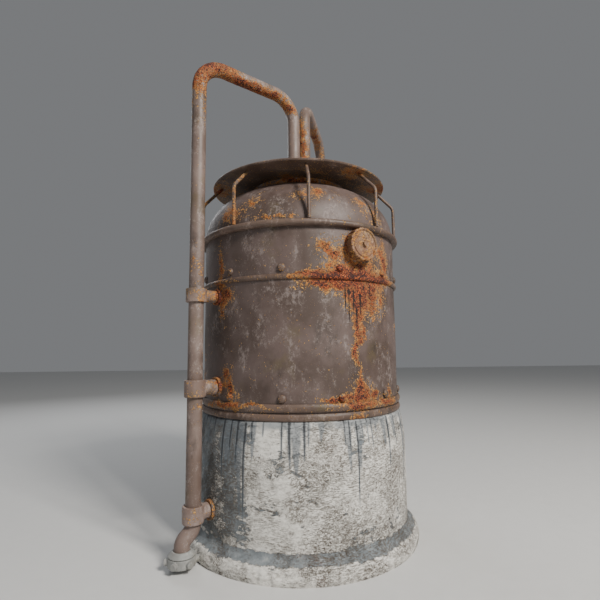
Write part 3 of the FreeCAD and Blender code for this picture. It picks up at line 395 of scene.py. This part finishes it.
def use(piece, body, slot, material, *replaced):
    """Hand a finished piece over, kept inside the box of the CAD nodes it stands in for."""
    piece.data.materials.clear()
    piece.data.materials.append(material)
    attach(piece, body)
    if replaced:
        lowest = np.min([low(node) for node in replaced], axis=0)
        highest = np.max([high(node) for node in replaced], axis=0)
        points = np.clip(coordinates(piece), lowest, highest).astype(np.float32)
        piece.data.vertices.foreach_set("co", points.ravel())
        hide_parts(*replaced)
    return piece


# ---------------------------------------------------------------- materials

class Shader:
    """A small helper that adds shader nodes and links what they are given."""

    def __init__(self, name):
        self.material = bpy.data.materials.new(name)
        self.material.use_nodes = True
        self.tree = self.material.node_tree
        self.surface = self.tree.nodes["Principled BSDF"]
        self.place = self.add("ShaderNodeTexCoord").outputs["Object"]

    def add(self, kind, **settings):
        node = self.tree.nodes.new(kind)
        for key, value in settings.items():
            setattr(node, key, value)
        return node

    def put(self, socket, value):
        if isinstance(value, bpy.types.NodeSocket):
            self.tree.links.new(value, socket)
        else:
            socket.default_value = value

    def math(self, operation, *values):
        node = self.add("ShaderNodeMath", operation=operation)
        for socket, value in zip(node.inputs, values):
            self.put(socket, value)
        return node.outputs[0]

    def stretched(self, x, y, z):
        node = self.add("ShaderNodeMapping")
        self.put(node.inputs["Vector"], self.place)
        node.inputs["Scale"].default_value = (x, y, z)
        return node.outputs[0]

    def noise(self, scale, detail=4, roughness=0.55, where=None, distortion=0.0):
        node = self.add("ShaderNodeTexNoise")
        self.put(node.inputs["Vector"], where or self.place)
        node.inputs["Scale"].default_value = scale
        node.inputs["Detail"].default_value = detail
        node.inputs["Roughness"].default_value = roughness
        node.inputs["Distortion"].default_value = distortion
        return node.outputs[0]

    def step(self, value, start, end, low_value=0.0, high_value=1.0):
        node = self.add("ShaderNodeMapRange", interpolation_type="SMOOTHSTEP")
        for socket, number in zip(node.inputs, (value, start, end, low_value, high_value)):
            self.put(socket, number)
        return node.outputs[0]

    def mix(self, share, one, two):
        node = self.add("ShaderNodeMix", data_type="RGBA")
        self.put(node.inputs[0], share)
        for socket, value in ((node.inputs[6], one), (node.inputs[7], two)):
            self.put(socket, (*value, 1) if isinstance(value, tuple) else value)
        return node.outputs[2]

    def ramp(self, value, *stops):
        node = self.add("ShaderNodeValToRGB")
        self.put(node.inputs[0], value)
        points = node.color_ramp.elements
        while len(points) < len(stops):
            points.new(0.5)
        for point, (where, colour) in zip(points, stops):
            point.position = where
            point.color = (*colour, 1)
        return node.outputs[0]

    def mask(self, name):
        return self.add("ShaderNodeAttribute", attribute_name=name).outputs["Fac"]

    def bump(self, height, strength, distance, before=None):
        node = self.add("ShaderNodeBump")
        node.inputs["Strength"].default_value = strength
        node.inputs["Distance"].default_value = distance
        self.put(node.inputs["Height"], height)
        if before:
            self.put(node.inputs["Normal"], before)
        return node.outputs[0]

    def finish(self, colour, roughness, normal, metallic=0.0):
        self.put(self.surface.inputs["Base Color"], colour)
        self.put(self.surface.inputs["Roughness"], roughness)
        self.put(self.surface.inputs["Normal"], normal)
        self.surface.inputs["Metallic"].default_value = metallic
        return self.material


def rusty_paint(name, paint, worn, shade, wear=0.5, spread=0.0):
    """Old paint gone chalky, worn light in places, with rust where the mask asks for it."""
    shader = Shader(name)
    broad = shader.noise(9, 5, 0.6)
    blotch = shader.noise(24, 9, 0.70, shader.stretched(1, 1, 0.7), 0.3)
    scratch = shader.noise(150, 4, 0.7, shader.stretched(1, 1, 0.6))
    ragged = shader.noise(62, 5, 0.70)
    speckle = shader.noise(250, 3, 0.65)
    grain = shader.noise(330, 3, 0.65, shader.stretched(0.9, 1.1, 1))

    base = shader.mix(shader.step(broad, 0.38, 0.62), paint, shade)
    moss = shader.step(shader.noise(12, 4, 0.6, shader.stretched(1, 1, 0.8)), 0.56, 0.70)
    base = shader.mix(shader.math("MULTIPLY", moss, 0.38), base, (0.105, 0.080, 0.026))
    grime = shader.step(shader.noise(18, 7, 0.7, shader.stretched(1, 1, 0.5)), 0.52, 0.70)
    base = shader.mix(shader.math("MULTIPLY", grime, 0.62), base, (0.028, 0.019, 0.015))
    rubbed = shader.math("MULTIPLY", shader.step(blotch, 0.50, 0.62),
                         shader.step(scratch, 0.44, 0.62))
    base = shader.mix(shader.math("MULTIPLY", rubbed, wear), base, worn)
    flecks = shader.math("MULTIPLY", shader.step(blotch, 0.44, 0.58),
                         shader.step(grain, 0.58, 0.66))
    base = shader.mix(shader.math("MULTIPLY", flecks, wear), base, worn)

    level = shader.math("MULTIPLY", shader.mask("rust"), 1.15)
    for part, share in ((ragged, 1.3), (speckle, 2.2)):
        level = shader.math("ADD", level, shader.math(
            "MULTIPLY", shader.math("SUBTRACT", part, 0.5), share))
    level = shader.math("ADD", level, spread)
    powder = shader.step(level, 0.40, 0.56)
    base = shader.mix(powder, base, shader.ramp(
        speckle, (0.40, (0.15, 0.055, 0.020)), (0.52, (0.42, 0.175, 0.042)),
        (0.64, (0.64, 0.36, 0.11))))
    crust = shader.step(level, 0.62, 0.86)
    base = shader.mix(crust, base, shader.ramp(
        grain, (0.42, (0.008, 0.004, 0.003)), (0.48, (0.070, 0.014, 0.007)),
        (0.54, (0.240, 0.038, 0.011)), (0.60, (0.420, 0.095, 0.020)),
        (0.68, (0.580, 0.230, 0.055))))
    deep = shader.math("MULTIPLY", shader.step(level, 0.86, 1.08),
                       shader.step(shader.noise(40, 5, 0.65), 0.44, 0.52))
    base = shader.mix(deep, base, shader.ramp(
        grain, (0.42, (0.006, 0.004, 0.004)), (0.54, (0.040, 0.011, 0.008)),
        (0.66, (0.230, 0.045, 0.016))))
    ran = shader.math("ADD", shader.mask("runs"),
                      shader.math("MULTIPLY", shader.math("SUBTRACT", ragged, 0.5), 1.2))
    ran = shader.math("ADD", ran,
                      shader.math("MULTIPLY", shader.math("SUBTRACT", speckle, 0.5), 0.8))
    base = shader.mix(shader.step(ran, 0.40, 0.60), base, (0.012, 0.006, 0.005))

    rough = shader.math("ADD", shader.step(blotch, 0.35, 0.7, 0.48, 0.64),
                        shader.math("MULTIPLY", powder, 0.28))
    relief = shader.math("SUBTRACT", shader.math("MULTIPLY", scratch, 0.6),
                         shader.math("MULTIPLY", rubbed, 0.25))
    normal = shader.bump(relief, 0.30, 0.0007)
    scab = shader.math("MULTIPLY", powder, shader.math("ADD", grain, speckle))
    normal = shader.bump(scab, 0.9, 0.0016, normal)
    return shader.finish(base, rough, normal)


def thin_lines(shader, field, spacing, width):
    """Lines along the level curves of a noise field."""
    away = shader.math("DIVIDE", shader.math("PINGPONG", field, spacing), spacing)
    return shader.math("SUBTRACT", 1.0, shader.step(away, width / 3, width))


def whitewash():
    """Lime wash that crazes and peels from grey concrete, with slate runs from the top edge, and
    painted shade: a blue-grey shadow band under the base ring and bare concrete on the shaded
    front-left.
    """
    shader = Shader("whitewash")
    flat = shader.stretched(1, 1, 2.0)
    flake = shader.noise(48, 9, 0.70, flat, 0.4)
    grit = shader.noise(280, 4, 0.65)
    chalk = shader.noise(75, 8, 0.74, flat)
    cluster = shader.noise(8, 5, 0.65)

    concrete = shader.ramp(shader.noise(42, 8, 0.7), (0.34, (0.105, 0.120, 0.130)),
                           (0.52, (0.205, 0.230, 0.245)), (0.68, (0.330, 0.345, 0.345)))
    paint = shader.ramp(chalk, (0.36, (0.36, 0.345, 0.315)), (0.46, (0.62, 0.60, 0.555)),
                        (0.58, (0.80, 0.78, 0.725)))
    # The bare mask also carries painted shade: the front-left of the plinth comes out as bare
    # blue-grey concrete.
    level = shader.math("ADD", flake, shader.math("MULTIPLY", shader.mask("bare"), 0.36))
    level = shader.math("ADD", level,
                        shader.math("MULTIPLY", shader.math("SUBTRACT", grit, 0.5), 0.25))
    peeled = shader.step(level, 0.660, 0.690)
    rim = shader.math("SUBTRACT", shader.step(level, 0.635, 0.660), peeled)
    wash = shader.mix(peeled, paint, concrete)
    wash = shader.mix(shader.math("MULTIPLY", rim, 0.45), wash, (0.16, 0.135, 0.110))

    field = shader.noise(15, 8, 0.66, shader.stretched(1, 1, 1.6), 0.5)
    crazing = shader.math("MULTIPLY", thin_lines(shader, field, 0.030, 0.50),
                          shader.step(cluster, 0.46, 0.56))
    wash = shader.mix(shader.math("MULTIPLY", crazing, 0.80), wash, (0.150, 0.120, 0.092))
    creases = shader.noise(26, 6, 0.62, shader.stretched(0.6, 0.6, 3.2))
    creases = shader.math("MULTIPLY", thin_lines(shader, creases, 0.045, 0.34),
                          shader.step(shader.noise(10, 4, 0.6), 0.42, 0.54))
    wash = shader.mix(shader.math("MULTIPLY", creases, 0.78), wash, (0.165, 0.130, 0.100))
    pits = shader.math("MULTIPLY", shader.step(shader.noise(210, 3, 0.7), 0.53, 0.61),
                       shader.step(shader.noise(14, 6, 0.72), 0.50, 0.62))
    wash = shader.mix(shader.math("MULTIPLY", pits, 0.88), wash, (0.090, 0.068, 0.052))
    pink = shader.math("MULTIPLY", shader.step(shader.noise(13, 5, 0.6), 0.60, 0.70),
                       shader.step(grit, 0.48, 0.58))
    wash = shader.mix(shader.math("MULTIPLY", pink, 0.35), wash, (0.33, 0.235, 0.215))

    # The runs mask also carries the painted shadow band under the base ring, which comes out
    # blue-grey here with dark patches.
    ran = shader.math("ADD", shader.mask("runs"),
                      shader.math("MULTIPLY", shader.math("SUBTRACT", chalk, 0.5), 0.55))
    wash = shader.mix(shader.math("MULTIPLY", shader.step(ran, 0.18, 0.42), 0.74), wash,
                      (0.165, 0.192, 0.218))
    wash = shader.mix(shader.math("MULTIPLY", shader.step(ran, 0.55, 0.80), 0.88), wash,
                      (0.034, 0.038, 0.045))

    height = shader.math("MULTIPLY", peeled, -0.55)
    for part, share in ((chalk, 0.55), (crazing, -0.55), (creases, -0.50), (rim, 0.2)):
        height = shader.math("ADD", height, shader.math("MULTIPLY", part, share))
    normal = shader.bump(height, 0.9, 0.0024)
    normal = shader.bump(grit, 0.4, 0.0009, normal)
    return shader.finish(wash, shader.step(cluster, 0.3, 0.7, 0.78, 0.92), normal)


def plain_metal(name, colour, dull, metallic=0.7):
    """Inner pieces: bare metal with a mottled bloom."""
    shader = Shader(name)
    bloom = shader.noise(45, 6, 0.65)
    base = shader.mix(shader.step(bloom, 0.40, 0.62), colour, dull)
    normal = shader.bump(shader.noise(300, 4, 0.6), 0.3, 0.0005)
    return shader.finish(base, shader.step(bloom, 0.3, 0.7, 0.35, 0.7), normal, metallic)


def soft_stuff(name, colour, dull, scale):
    shader = Shader(name)
    fibre = shader.noise(scale, 6, 0.7, shader.stretched(1, 1, 3), 1.5)
    base = shader.mix(shader.step(fibre, 0.42, 0.60), colour, dull)
    return shader.finish(base, shader.step(fibre, 0.3, 0.7, 0.8, 0.95),
                         shader.bump(fibre, 0.5, 0.0008))


VESSEL_PAINT = rusty_paint("vessel_paint", (0.066, 0.043, 0.034), (0.225, 0.185, 0.172),
                           (0.112, 0.079, 0.070), 0.75)
# Painted light: the band paint is a lighter, pinker copy of the vessel paint, its extra lightness
# standing in for the light the bands catch. The disc, rivets, stays, pads, saddle and saddle bolts
# wear it too.
LIT_BAND_PAINT = rusty_paint("band_paint_lit", (0.125, 0.082, 0.062), (0.270, 0.205, 0.175),
                         (0.080, 0.050, 0.037), 0.6, 0.0)
PIPE_PAINT = rusty_paint("pipe_paint", (0.190, 0.138, 0.118), (0.340, 0.285, 0.265),
                         (0.125, 0.086, 0.070), 0.7, 0.0)
COLLAR_PAINT = rusty_paint("collar_paint", (0.250, 0.185, 0.162), (0.400, 0.330, 0.305),
                           (0.170, 0.115, 0.092), 0.5, 0.05)
CAP_RUST = rusty_paint("cap_rust", (0.250, 0.125, 0.066), (0.420, 0.270, 0.170),
                       (0.120, 0.050, 0.025), 0.7, -0.02)
OUTLET_LIME = rusty_paint("outlet_lime", (0.300, 0.308, 0.298), (0.480, 0.470, 0.440),
                          (0.200, 0.190, 0.178), 0.6, -0.12)
WHITEWASH = whitewash()
INNER_STEEL = plain_metal("inner_steel", (0.32, 0.31, 0.30), (0.16, 0.15, 0.145))
DULL_BRASS = plain_metal("dull_brass", (0.48, 0.35, 0.14), (0.22, 0.17, 0.09), 0.85)
AGED_RUBBER = soft_stuff("aged_rubber", (0.035, 0.033, 0.032), (0.075, 0.070, 0.066), 160)
WOOL_FELT = soft_stuff("wool_felt", (0.38, 0.34, 0.27), (0.24, 0.21, 0.17), 260)


# ---------------------------------------------------------------- plinth

# azimuth, length, half width and strength of the runs on the plinth's front
PLINTH_RUNS = [
    (229, 0.150, 0.0044, 1.00), (234, 0.110, 0.0035, 1.00), (238, 0.120, 0.0048, 0.90),
    (242.5, 0.225, 0.0042, 1.00), (246, 0.060, 0.0032, 0.90), (252, 0.035, 0.0032, 0.80),
    (261, 0.085, 0.0029, 0.90), (264.5, 0.105, 0.0042, 1.00), (267, 0.050, 0.0029, 0.80),
    (271.5, 0.090, 0.0042, 1.00), (273.5, 0.060, 0.0029, 0.80), (280, 0.030, 0.0026, 0.70),
    (290.5, 0.060, 0.0026, 0.80), (293, 0.150, 0.0029, 1.00), (297, 0.190, 0.0026, 1.00),
    (300, 0.060, 0.0029, 0.80), (303.5, 0.060, 0.0022, 0.80), (306, 0.075, 0.0022, 0.80),
    (309, 0.060, 0.0022, 0.80), (318.5, 0.140, 0.0038, 1.00), (326, 0.080, 0.0032, 0.90),
    (232, 0.112, 0.0130, 0.58), (240, 0.225, 0.0110, 0.56), (247, 0.088, 0.0100, 0.53),
    (267.5, 0.119, 0.0150, 0.56), (279, 0.050, 0.0080, 0.50), (292.5, 0.106, 0.0100, 0.56),
    (298, 0.119, 0.0110, 0.54), (315, 0.075, 0.0140, 0.50), (324, 0.062, 0.0110, 0.50),
]


def slate_runs():
    """The front's runs, and made-up ones like them for the rest of the plinth."""
    runs = [(azimuth, 0.306, length, wide, strong) for azimuth, length, wide, strong in PLINTH_RUNS]
    dice = np.random.default_rng(7)
    place = 330.0
    while place < 580:
        place += dice.uniform(2.0, 8.0)
        length = dice.choice((0.05, 0.09, 0.18)) * dice.uniform(0.7, 1.2)
        runs.append((place % 360, 0.306, length, dice.uniform(0.0026, 0.0046),
                     dice.uniform(0.8, 1.0)))
        if dice.uniform() < 0.45:
            runs.append((place % 360, 0.306, length * 0.7, dice.uniform(0.008, 0.014), 0.55))
    return runs


def build_plinth():
    piece = turned("plinth_wash", profile([
        (0, 0), (0.2875, 0, 0.022, LEFT), (0.2875, 0.022, 0.014, LEFT), (0.2785, 0.033),
        (0.268, 0.041, 0.024, RIGHT), (0.264, 0.058), (0.264, 0.212, 0.4, LEFT),
        (0.255, 0.296, 0.008, LEFT), (0.247, 0.304), (0, 0.304),
    ]), 560)
    points = coordinates(piece)
    reach, level = np.hypot(points[:, 0], points[:, 1]), points[:, 2]
    outer = ramp(reach, 0.235, 0.247)
    flakes = clouds(points * (1, 1, 1.8), 0.060, 21, 5)
    bare = ramp(flakes, 0.30, 0.42) * outer
    lip = np.exp(-((level - 0.014) / 0.016) ** 2) * outer
    ledge = np.exp(-((level - 0.042) / 0.009) ** 4) * outer
    crest = np.exp(-((level - 0.300) / 0.012) ** 2) * outer
    chips = ramp(noise(points, 0.022, 31) + 0.4 * noise(points, 0.008, 32), 0.45, 0.85)
    pits = ramp(noise(points, 0.007, 33), 0.45, 0.9)
    amount = noise(points, 0.14, 11) * 0.0008 + noise(points, 0.045, 12) * 0.0004
    amount -= bare * 0.0005 + chips * (lip * 0.0028 + crest * 0.0022)
    amount -= pits * 0.0007 * (0.3 + lip)
    amount = np.minimum(amount, 0.0006) * ramp(level, 0.0005, 0.006)
    amount[level > 0.3035] = 0
    push(piece, amount)
    azimuth = np.degrees(np.arctan2(points[:, 1], points[:, 0])) % 360
    # The worn zones rub the whitewash down to bare concrete. The front-left zone, azimuth 188 to
    # 252, is painted shade as well as wear: the side that turns from the light is painted as bare
    # blue-grey concrete. The zone at 80 to 114 is wear only.
    edge = azimuth + noise(points * (1, 1, 0.5), 0.02, 43) * 2.5
    worn = (ramp(edge, 188, 204) * (1 - ramp(edge, 232, 252)) + ramp(edge, 80, 92)
            * (1 - ramp(edge, 102, 114))) * ramp(level, 0.05, 0.07)
    worn *= 0.45 + 0.5 * ramp(noise(points * (1, 1, 0.15), 0.018, 44), -0.7, 0.3)
    # Painted shadow: a blue-grey band round the top of the plinth where the base ring's shadow
    # falls, put into the runs mask.
    base_ring_shadow = np.exp(-((level - 0.306) / 0.022) ** 2) * (0.9 + 0.5 * noise(points, 0.02, 41))
    mark(piece, "bare", np.clip(bare * 0.35 * (1 - lip) + ledge * 1.3 + worn, 0, 1))
    mark(piece, "runs", np.clip(np.maximum(runs_at(points, slate_runs()), base_ring_shadow * 0.52), 0, 1))
    use(piece, "generator", "whitewashed_concrete", WHITEWASH, "plinth")


# ---------------------------------------------------------------- vessel

RIVETS = [(RIVET_FIRST + RIVET_STEP * n, high(row).z - RIVET_HEAD) for n in range(RIVET_COUNT)
          for row in ("lower_rivets", "upper_rivets")]


def dented(piece, depth=0.0009):
    points = coordinates(piece)
    amount = noise(points, 0.16, 51) * depth + noise(points, 0.06, 52) * depth * 0.35
    for azimuth, level in RIVETS:
        away = np.linalg.norm(points - polar(VESSEL, azimuth, level), axis=1)
        amount -= np.exp(-(away / 0.016) ** 2) * 0.0005
    push(piece, np.minimum(amount, 0.0004))


def build_shell():
    inner = VESSEL - WALL
    piece = turned("shell_skin", profile([
        (inner, PLINTH_TOP), (VESSEL, PLINTH_TOP), (VESSEL, SEAM), (inner, SEAM)]), 520)
    dented(piece)
    weather(piece)
    mark(piece, "runs", runs_at(coordinates(piece), SHELL_RUNS))
    use(piece, "generator", "vessel_paint", VESSEL_PAINT, "vessel_shell")


def build_dome():
    """The head's skin: skirt, knuckle, crown and the flat the crown ring stands on."""
    knuckle, angle, flat = 0.125, math.radians(60), high("crown_ring").x
    spring = SEAM + 0.0025
    edge_x = VESSEL - knuckle + knuckle * math.cos(angle)
    edge_z = spring + knuckle * math.sin(angle)
    crown = edge_x / math.cos(angle)
    inner = crown - WALL
    drop = CROWN - WALL - (edge_z - crown * math.sin(angle))
    piece = turned("dome_skin", profile([
        (VESSEL - WALL, SEAM + 0.0002), (VESSEL, SEAM + 0.0002), (VESSEL, spring, knuckle, LEFT),
        (edge_x, edge_z, crown, LEFT), (flat, CROWN), (0, CROWN), (0, CROWN - WALL),
        (math.sqrt(inner ** 2 - drop ** 2), CROWN - WALL, inner, RIGHT),
        (edge_x - WALL * math.cos(angle), edge_z - WALL * math.sin(angle), knuckle - WALL, RIGHT),
        (VESSEL - WALL, spring)], 0.0035), 420)
    dented(piece, 0.0011)
    weather(piece)
    use(piece, "generator", "vessel_paint", VESSEL_PAINT, "dome_head")


def build_crown_ring():
    outer, bottom, top = high("crown_ring").x, low("crown_ring").z, high("crown_ring").z
    piece = turned("crown_ring_band", profile([
        (outer - 0.006, bottom), (outer, bottom), (outer, top - 0.001, 0.001, LEFT),
        (outer - 0.001, top), (outer - 0.006, top)], 0.0015), 420)
    points = coordinates(piece)
    push(piece, np.minimum(noise(points, 0.02, 66) * 0.0004, 0))
    weather(piece, 0.15, 0.0003)
    use(piece, "generator", "cover_steel", PIPE_PAINT, "crown_ring")


def build_hoop(node, bulge, extra=0.0):
    """A band with a rounded face, a little uneven from handling."""
    bottom, top = low(node).z, high(node).z
    inner, edge = VESSEL + 0.0002, high(node).x - bulge
    half = (top - bottom) / 2
    radius = (half ** 2 + bulge ** 2) / (2 * bulge)
    piece = turned(node + "_band", profile([
        (inner, bottom), (edge, bottom, radius, LEFT), (edge, top), (inner, top)], 0.0016), 620)
    points = coordinates(piece)
    amount = noise(points, 0.05, 61) * 0.0003 + noise(points, 0.012, 62) * 0.00012
    nicks = ramp(noise(points, 0.010, 63), 0.62, 0.9)
    push(piece, np.minimum(amount - nicks * 0.0006, 0.0001))
    weather(piece, extra)
    use(piece, "generator", "band_steel", LIT_BAND_PAINT, node)


def build_disc():
    """The cover plate: slightly buckled, nicked at its edge, with two pipe holes."""
    half = (DISC_HIGH - DISC_LOW) / 2
    piece = turned("cover_plate", profile([
        (0, DISC_LOW), (DISC - half, DISC_LOW, half * 1.05, LEFT), (DISC - half, DISC_HIGH),
        (0, DISC_HIGH)], 0.0035), 420)
    for x, y in (RISER_GAS, RISER_VENT):
        bpy.ops.mesh.primitive_cylinder_add(vertices=64, radius=PIPE + 0.0016, depth=0.04,
                                            location=(x, y, DISC_LOW))
        drill = bpy.context.object
        cut = piece.modifiers.new("hole", "BOOLEAN")
        cut.object = drill
        evaluated(piece)
        bpy.data.objects.remove(drill)
    points = coordinates(piece)
    reach = np.hypot(points[:, 0], points[:, 1])
    buckle = noise(points * (1, 1, 0), 0.13, 71) * 0.0014 * ramp(reach, 0.06, DISC)
    push(piece, np.minimum(buckle, 0.0), (0, 0, 1))
    nick = ramp(noise(points, 0.014, 72), 0.5, 0.9) * ramp(reach, DISC - 0.004, DISC)
    push(piece, -nick * 0.0012)
    weather(piece, 0.05)
    piece.data.shade_smooth()
    piece.data.set_sharp_from_angle(angle=math.radians(40))
    use(piece, "generator", "cover_steel", LIT_BAND_PAINT, "cover_disc")


def build_rivets(node, row_level):
    """Hammered round heads, each a little different, in old paint."""
    dice = np.random.default_rng(3)
    points, faces = [], []
    rings, around = 9, 24
    for number in range(RIVET_COUNT):
        azimuth = math.radians(RIVET_FIRST + RIVET_STEP * number)
        out = np.array([math.cos(azimuth), math.sin(azimuth), 0])
        side = np.array([-out[1], out[0], 0])
        up = np.array([0, 0, 1.0])
        tilt = dice.uniform(-0.10, 0.10, 2)
        size = dice.uniform(0.93, 1.0)
        first = len(points)
        for ring in range(rings + 1):
            bend = ring / rings * math.pi / 2
            reach = RIVET_HEAD * math.cos(bend) ** 0.8 * size
            lift = RIVET_LIFT * math.sin(bend) * size
            for n in range(around):
                turn = math.tau * n / around
                flat = reach * (math.cos(turn) * side + math.sin(turn) * up)
                lean = flat @ side * tilt[0] + flat @ up * tilt[1]
                spot = out * (VESSEL + 0.0001 + max(lift + lean * math.sin(bend), 0))
                points.append(spot + flat + up * row_level)
        for ring in range(rings):
            for n in range(around):
                a, b = first + ring * around + n, first + ring * around + (n + 1) % around
                faces.append((a, b, b + around, a + around))
        faces.append(tuple(range(first, first + around))[::-1])
        faces.append(tuple(range(first + rings * around, first + (rings + 1) * around)))
    piece = mesh_piece(node + "_heads", points, faces, 60)
    weather(piece, 0.12, 0.0003)
    use(piece, "generator", "fastener_steel", LIT_BAND_PAINT, node)


# ---------------------------------------------------------------- pipes, stays, fittings

SADDLE = math.radians(49.4)
SPREAD = 0.02305
RISER_GAS = (0.00375 - SPREAD * math.cos(SADDLE), -0.0025 - SPREAD * math.sin(SADDLE))
RISER_VENT = (0.00375 + SPREAD * math.cos(SADDLE), -0.0025 + SPREAD * math.sin(SADDLE))


def build_pipe(node, riser, azimuth, bottom):
    """A pipe from the dome up, out and down; bottom holds its last corners and radii."""
    top = high(node).z - PIPE
    down = polar(PIPE_REACH, azimuth, top)
    out = (down[:2] - riser) / np.linalg.norm(down[:2] - riser)
    corners = [(*riser, CROWN + 0.0003), (*riser, top), tuple(down)]
    corners += [(*(down[:2] + out * offset), level) for offset, level in bottom[0]]
    line = rounded(corners, [0, 0.065, 0.065, *bottom[1]])
    piece = swept(node + "_tube", line, PIPE, 44)
    points = coordinates(piece)
    push(piece, np.minimum(noise(points, 0.05, 81) * 0.0003 + noise(points, 0.015, 82) * 0.0001, 0))
    weather(piece, 0.0)
    use(piece, "generator", "pipe_steel", PIPE_PAINT, node)


def build_stays():
    for number in range(STAY_COUNT):
        node = f"stay_rod_{number + 1}"
        azimuth = STAY_FIRST + STAY_STEP * number
        foot, lean = 0.2573, 0.052
        line = rounded([polar(foot, azimuth, low(node).z), polar(foot, azimuth, DISC_LOW - 0.05),
                        polar(foot - lean + 0.0035, azimuth, DISC_LOW)], [0, 0.022, 0])
        piece = swept(node + "_bar", line, STAY_RADIUS, 20, 0.003)
        points = coordinates(piece)
        push(piece, np.minimum(noise(points, 0.02, 85 + number) * 0.0003, 0.0001))
        weather(piece, 0.12 + 0.22 * ((number * 5) % 4 == 0), 0.0003)
        use(piece, "generator", "band_steel", LIT_BAND_PAINT, node)


def build_castings():
    for side in ("gas", "vent"):
        for row in ("low", "middle", "high"):
            piece = cast_copy(f"{side}_{row}_collar", 0.0016)
            weather(piece, 0.10)
            use(piece, "generator", "clamp_iron", COLLAR_PAINT, f"{side}_{row}_collar")
            piece = cast_copy(f"{side}_{row}_pad", 0.0012)
            weather(piece, 0.35)
            use(piece, "generator", "clamp_iron", LIT_BAND_PAINT, f"{side}_{row}_pad")
    for node, body, slot, material, extra in (
            ("pipe_saddle", "generator", "clamp_iron", LIT_BAND_PAINT, 0.30),
            ("filler_cap", "filler_lid", "cap_iron", CAP_RUST, 0.0),
            ("filler_neck", "generator", "cap_iron", CAP_RUST, 0.35),
            ("outlet_cap", "outlet_lid", "outlet_iron", OUTLET_LIME, 0.0),
            ("outlet_coupling", "generator", "outlet_iron", OUTLET_LIME, 0.05)):
        piece = cast_copy(node, 0.0009)
        points = coordinates(piece)
        push(piece, np.minimum(noise(points, 0.004, 95) * 0.0004
                               + noise(points, 0.0018, 96) * 0.0002, 0))
        if material == CAP_RUST:
            mark(piece, "rust", np.clip(0.30 + extra + 0.30 * noise(points, 0.012, 97), 0, 1))
        else:
            weather(piece, extra, 0.0002)
        use(piece, body, slot, material, node)


def dress_nodes():
    """Give the CAD nodes that stay as they are their materials."""
    finishes = {
        "saddle_bolts": LIT_BAND_PAINT, "cap_centre_screw": CAP_RUST, "gas_riser": INNER_STEEL,
        "filler_gasket": AGED_RUBBER, "outlet_gasket": AGED_RUBBER, "filter_felt": WOOL_FELT,
        "drip_tube": DULL_BRASS, "drip_nozzle": DULL_BRASS,
    }
    inner = ("vessel_floor", "partition_plate", "shoulder_strap", "riser_locknuts", "filter_case",
             "filter_plate", "carbide_basket", "basket_grate", "basket_stand", "residue_tray")
    finishes.update({node: INNER_STEEL for node in inner})
    for node, material in finishes.items():
        NODES[node].data.materials.clear()
        NODES[node].data.materials.append(material)


# ---------------------------------------------------------------- stage

def build_stage():
    mesh = bpy.data.meshes.new("floor")
    mesh.from_pydata([(-9, -9, 0), (9, -9, 0), (9, 9, 0), (-9, 9, 0)], [], [(0, 1, 2, 3)])
    floor = bpy.data.objects.new("floor", mesh)
    bpy.context.scene.collection.objects.link(floor)
    shader = Shader("pale_floor")
    speck = shader.noise(30, 4, 0.6)
    tone = shader.mix(speck, (0.60, 0.60, 0.59), (0.66, 0.66, 0.65))
    mesh.materials.append(shader.finish(tone, shader.step(speck, 0.3, 0.7, 0.75, 0.9),
                                        shader.bump(speck, 0.05, 0.001)))

    world = bpy.data.worlds.new("studio")
    world.use_nodes = True
    world.node_tree.nodes["Background"].inputs["Color"].default_value = (0.80, 0.82, 0.85, 1)
    world.node_tree.nodes["Background"].inputs["Strength"].default_value = 0.24
    bpy.context.scene.world = world
    for name, place, size, power, tint in (
            ("key", (1.7, -2.1, 2.5), 0.8, 165, (1.0, 0.96, 0.90)),
            ("fill", (-2.6, -1.8, 1.4), 2.4, 9, (0.90, 0.95, 1.0)),
            ("rim", (-1.6, 2.2, 2.2), 1.4, 30, (0.95, 0.97, 1.0))):
        light = bpy.data.objects.new(name, bpy.data.lights.new(name, "AREA"))
        light.data.size = size
        light.data.energy = power
        light.data.color = tint
        light.location = place
        aim = Vector((0, 0, 0.5)) - Vector(place)
        light.rotation_euler = aim.to_track_quat("-Z", "Y").to_euler()
        bpy.context.scene.collection.objects.link(light)


def build_camera():
    """The camera stands low in front and looks a little up."""
    pitch, roll, yaw = (math.radians(angle) for angle in (
        CAMERA_PITCH, CAMERA_ROLL, CAMERA_YAW))
    ahead = Vector((math.sin(yaw) * math.cos(pitch), math.cos(yaw) * math.cos(pitch),
                    math.sin(pitch)))
    level = Vector((math.cos(yaw), -math.sin(yaw), 0))
    upright = level.cross(ahead)
    right = math.cos(roll) * level + math.sin(roll) * upright
    up = math.cos(roll) * upright - math.sin(roll) * level
    camera = bpy.data.objects.new("camera", bpy.data.cameras.new("camera"))
    place = Matrix((right, up, -ahead)).transposed().to_4x4()
    place.translation = Vector(CAMERA_PLACE)
    camera.matrix_world = place
    camera.data.lens = CAMERA_LENS
    camera.data.sensor_width = CAMERA_SENSOR
    bpy.context.scene.collection.objects.link(camera)
    bpy.context.scene.camera = camera


build_stage()
build_camera()
build_plinth()
build_shell()
build_dome()
build_crown_ring()
for band, bulge, extra in (("base_ring", 0.0030, 0.05), ("lower_hoop", 0.0033, 0.05),
                           ("partition_hoop", 0.0033, 0.12), ("shoulder_ring", 0.0072, 0.0)):
    build_hoop(band, bulge, extra)
build_disc()
build_rivets("lower_rivets", (low("lower_rivets").z + high("lower_rivets").z) / 2)
build_rivets("upper_rivets", (low("upper_rivets").z + high("upper_rivets").z) / 2)
build_pipe("gas_pipe", RISER_GAS, -140,
           ([(0, 0.0744), (0.024, 0.0543), (0.024, 0.0297)], [0.022, 0.022, 0]))
build_pipe("vent_pipe", RISER_VENT, 75, ([(0, 0.06)], [0]))
build_stays()
build_castings()
dress_nodes()
